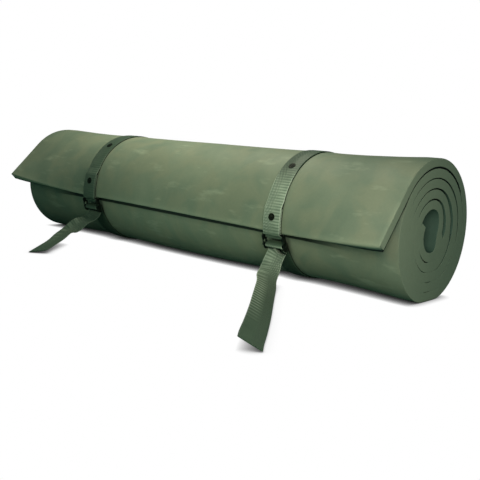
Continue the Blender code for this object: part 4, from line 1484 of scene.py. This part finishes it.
@dataclass
class Eyelets:
    """The four eyelets: blacked brass flanges with a domed ring, instanced on their seats."""

    straps: list[Strap]
    finish: BlackedMetal
    flange: float = 0.0080
    bore: float = 0.0034
    dome: float = 0.0011
    disc_room: float = 0.0002
    disc_thickness: float = 0.0001
    seat_room: float = 0.00005

    def tree(self) -> ShapeTree:
        """Return the tree that puts a domed ring on each seat, with a dark disc in its bore as painted shade.
        """
        made = ShapeTree("set_eyelets", {"Flange": self.flange, "Bore": self.bore, "Dome": self.dome})
        made.read("axis", kind="FLOAT_VECTOR")
        made.let("middle = (flange + bore) / 4")
        grown = {"Geometry": made.circle(36), "Scale": made.vector("middle", "middle", "middle")}
        ring = made.add("GeometryNodeTransform", grown).outputs[0]
        section = made.circle(16)
        made.place("cx", "cy", "cz")
        shape = made.vector("cx * (flange - bore) / 4", "max(cy, 0) * dome + min(cy, 0) * dome * 0.2", "0")
        domed = {"Geometry": section, "Position": shape}
        profile = made.add("GeometryNodeSetPosition", domed).outputs[0]
        flange = made.add("GeometryNodeCurveToMesh", {"Curve": ring, "Profile Curve": profile}).outputs[0]
        # Painted shade: a thin disc of the dark finish fills the bore, standing in for the shade inside the
        # hole.
        radius = made.let(f"radius = bore / 2 + {self.disc_room}")
        sizes = {"Vertices": 24, "Radius": radius, "Depth": self.disc_thickness}
        disc = made.add("GeometryNodeMeshCylinder", sizes).outputs["Mesh"]
        both = made.add("GeometryNodeJoinGeometry")
        for part in (flange, disc):
            made.tree.links.new(part, both.inputs[0])
        axis = {"Vector": made.known["axis"]}
        turn = made.add("FunctionNodeAlignRotationToVector", axis, axis="Z").outputs[0]
        seats = {"Points": made.entry.outputs["Geometry"], "Instance": both.outputs[0], "Rotation": turn}
        made.end(made.add("GeometryNodeInstanceOnPoints", seats).outputs[0])
        return made

    def build(self) -> Object:
        """Return the eyelets as one piece on the mat."""
        seats, axes, nodes = [], [], []
        for strap in self.straps:
            roll = strap.roll
            for place, distance, extra in zip(("lower", "upper"), strap.eyelets_from_edge, (strap.layer, 0.0)):
                turn = strap.from_edge(distance)
                seat = strap.on_roll(turn, roll.on_mat + roll.web / 2 + extra + self.seat_room)
                seats.append(Vector((roll.strap_at[strap.side], seat.x, seat.y)))
                axes.append((0.0, math.sin(turn), math.cos(turn)))
                nodes.append(f"{strap.side.value}_{place}_eyelet")
        guide = point_guide("eyelet_seats", seats, False, axis=axes)
        piece = self.tree().make("eyelets", guide, self.finish.material())
        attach(piece, "mat")
        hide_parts(*nodes)
        log.info("%s: %d faces", piece.name, len(piece.data.polygons))
        return piece


@dataclass(frozen=True)
class Lamp:
    """A square soft lamp: its place, what it faces, its side, power and spread in degrees."""

    name: str
    place: Triple
    target: Triple
    size: float
    watts: float
    spread: float
    tint: str

    def hang(self) -> None:
        """Put the lamp into the scene."""
        data = bpy.data.lights.new(self.name, "AREA")
        data.size = self.size
        data.energy = self.watts
        data.spread = math.radians(self.spread)
        data.color = linear(self.tint)[:3]
        lamp = placed(self.name, data)
        lamp.location = self.place
        lamp.visible_camera = False
        lamp.rotation_mode = "QUATERNION"
        lamp.rotation_quaternion = (Vector(self.target) - Vector(self.place)).to_track_quat("-Z", "Y")


@dataclass
class Studio:
    """A plain pale floor under soft light, seen as the photograph sees the roll."""

    yaw: float = math.radians(41.11)
    pitch: float = math.radians(8.67)
    roll: float = math.radians(3.39)
    stands_at: Triple = (0.63457, -0.67160, 0.1613)
    focal: float = 745.74
    picture: float = 480.0
    sensor: float = 36.0
    sees: Pair = (0.01, 50.0)
    floor_size: float = 14.0
    floor_tone: str = "#608c86"
    ambient: float = 0.150
    shadow_reach: float = 0.010
    shadow_depth: float = 1.1
    shade: str = "#b0f4f0"
    lamps: tuple[Lamp, ...] = (
        Lamp("overhead", (-0.09, 0.03, 0.50), (-0.09, 0.03, 0.07), 0.25, 1.22, 150.0, "#fffce4"),
        Lamp("front", (0.15, -0.55, 0.30), (0.10, 0.0, 0.07), 0.25, 0.25, 80.0, "#f8ffe4"),
        Lamp("end", (0.46, -0.31, 0.14), (0.3, 0.0, 0.07), 0.16, 0.41, 140.0, "#fffef0"),
        Lamp("bounce", (-0.04, -0.15, 0.004), (-0.04, -0.12, 0.05), 0.12, 0.02, 180.0, "#e8fff8"),
    )

    def camera(self) -> None:
        """Place the camera."""
        data = bpy.data.cameras.new("camera")
        camera = placed("camera", data)
        data.sensor_width = self.sensor
        data.lens = self.focal / self.picture * self.sensor
        data.clip_start, data.clip_end = self.sees
        level = Vector((math.cos(self.yaw), math.sin(self.yaw), 0.0))
        forward = Vector((-level.y, level.x, 0.0))
        ahead = forward * math.cos(self.pitch) - Vector((0.0, 0.0, math.sin(self.pitch)))
        up = level.cross(ahead)
        right = level * math.cos(self.roll) + up * math.sin(self.roll)
        up = up * math.cos(self.roll) - level * math.sin(self.roll)
        turn = Matrix((right, up, -ahead)).transposed().to_4x4()
        camera.matrix_world = Matrix.Translation(self.stands_at) @ turn
        bpy.context.scene.camera = camera

    def world(self) -> None:
        """Light the scene from all round; the camera sees the world white, through clear things too."""
        world = bpy.data.worlds.new("studio")
        bpy.context.scene.world = world
        nodes = ShaderTree(world, "Background")
        rays = nodes.add("ShaderNodeLightPath").outputs
        nodes.known |= {"camera": rays["Is Camera Ray"], "through": rays["Is Transmission Ray"]}
        seen = nodes.let("seen = max(camera, through)")
        strength = nodes.ranged(seen, (0.0, 1.0), (self.ambient, 1.0))
        nodes.end({"Strength": strength, "Color": nodes.mix(seen, self.shade, "#ffffff")})

    def floor(self) -> None:
        """Lay the floor: white to the camera, with a painted contact shadow from an occlusion node near the
        roll and straps.
        """
        bm = bmesh.new()
        bmesh.ops.create_circle(bm, cap_ends=True, segments=64, radius=self.floor_size)
        mesh = bpy.data.meshes.new("floor")
        bm.to_mesh(mesh)
        bm.free()
        floor = placed("floor", mesh)
        nodes = ShaderTree(bpy.data.materials.new("white_card"))
        card = {"Base Color": linear(self.floor_tone), "Roughness": 1.0, "Specular IOR Level": 0.0}
        mesh.materials.append(nodes.end(card))
        # Painted shadow: the camera sees a white glow that an occlusion node darkens near the roll and the
        # straps.
        reach = {"Distance": self.shadow_reach}
        nodes.known["near"] = nodes.add("ShaderNodeAmbientOcclusion", reach, samples=16).outputs["AO"]
        glow = nodes.add("ShaderNodeEmission", {"Strength": nodes.let(f"depth = near ** {self.shadow_depth}")})
        rays = nodes.add("ShaderNodeLightPath").outputs["Is Camera Ray"]
        seen = nodes.add("ShaderNodeMixShader", {0: rays, 1: nodes.shader.outputs[0], 2: glow.outputs[0]})
        nodes.fill(nodes.tree.nodes["Material Output"], {"Surface": seen.outputs[0]})
        floor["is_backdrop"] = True

    def build(self) -> None:
        """Set up camera, light and floor."""
        bpy.context.scene.view_settings.view_transform = "Standard"
        self.camera()
        self.world()
        self.floor()
        for lamp in self.lamps:
            lamp.hang()


def dress(nodes: dict[str, Object], names: list[str], finish: Material) -> None:
    """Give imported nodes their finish.

    Args:
        nodes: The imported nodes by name.
        names: Which of them.
        finish: The material.
    """
    for name in names:
        mesh = nodes[name].data
        mesh.materials.clear()
        mesh.materials.append(finish)
        log.info("%s: dressed in %s", name, finish.name)


def corners() -> list[list[float]]:
    """Return the whole object's box as plain lists."""
    return [list(corner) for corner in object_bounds()]


def main() -> None:
    """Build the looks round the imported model."""
    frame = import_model()
    roll = Roll()
    mat = FoamMat(roll, ClosedCellFoam()).build()
    log.info("%s: %d faces", mat.name, len(mat.data.polygons))
    webbing = Webbing(roll, WovenWebbing())
    straps = [
        Strap(
            Side.NEAR,
            roll,
            Buckle(Side.NEAR, frame["joints"]),
            eyelets_from_edge=(0.0146, 0.0690),
            # Sideways and forwards from the buckle, and the share of the fall that is left there.
            tail_points=(
                (-0.0030, 0.000, 0.77),
                (-0.0045, -0.003, 0.51),
                (-0.0025, -0.009, 0.27),
                (0.0045, -0.022, 0.10),
                (0.0200, -0.041, 0.01),
                (0.0530, -0.085, 0.00),
                (0.0860, -0.129, 0.00),
                (0.1150, -0.169, 0.00),
                (0.1325, -0.194, 0.00),
                (0.1430, -0.208, 0.00),
            ),
            plan_turn=math.radians(41.0),
            lean=math.radians(-28.0),
            faded=1.0,
            ribbed=0.25,
            crisp=1.0,
        ),
        Strap(
            Side.FAR,
            roll,
            Buckle(Side.FAR, frame["joints"]),
            eyelets_from_edge=(0.0177, 0.0681),
            tail_points=(
                (0.000, -0.006, 0.79),
                (-0.004, -0.018, 0.62),
                (-0.009, -0.026, 0.46),
                (-0.012, -0.033, 0.34),
                (-0.010, -0.044, 0.23),
                (0.001, -0.062, 0.10),
                (0.024, -0.094, 0.02),
                (0.040, -0.114, 0.00),
            ),
            plan_turn=math.radians(37.0),
            lean=math.radians(9.0),
            faded=0.22,
            ribbed=0.12,
            crisp=0.4,
        ),
    ]
    for strap in straps:
        log.info("%s strap: %.3f m of webbing", strap.side.value, webbing.build(strap))
    dull = {"roughness": 0.55, "metallic": 0.3, "specular": 0.15}
    Eyelets(straps, BlackedMetal("brass_blacked", base="#12180f", rubbed="#2a3226", **dull)).build()
    steel = BlackedMetal("steel_blacked").material()
    for strap in straps:
        PressedFrame(strap.buckle, steel).build()
    names = [f"{side.value}_{part}" for side in Side for part in ("buckle_frame", "slide_bar")]
    dress(frame["nodes"], names, steel)
    washers = [f"{side.value}_{place}_washer" for side in Side for place in ("lower", "upper")]
    dress(frame["nodes"], washers, BlackedMetal("brass_washer", rubbed="#4a4a38").material())
    Studio().build()


if __name__ == "__main__":
    logging.basicConfig(level=logging.INFO, format="%(message)s")
    main()
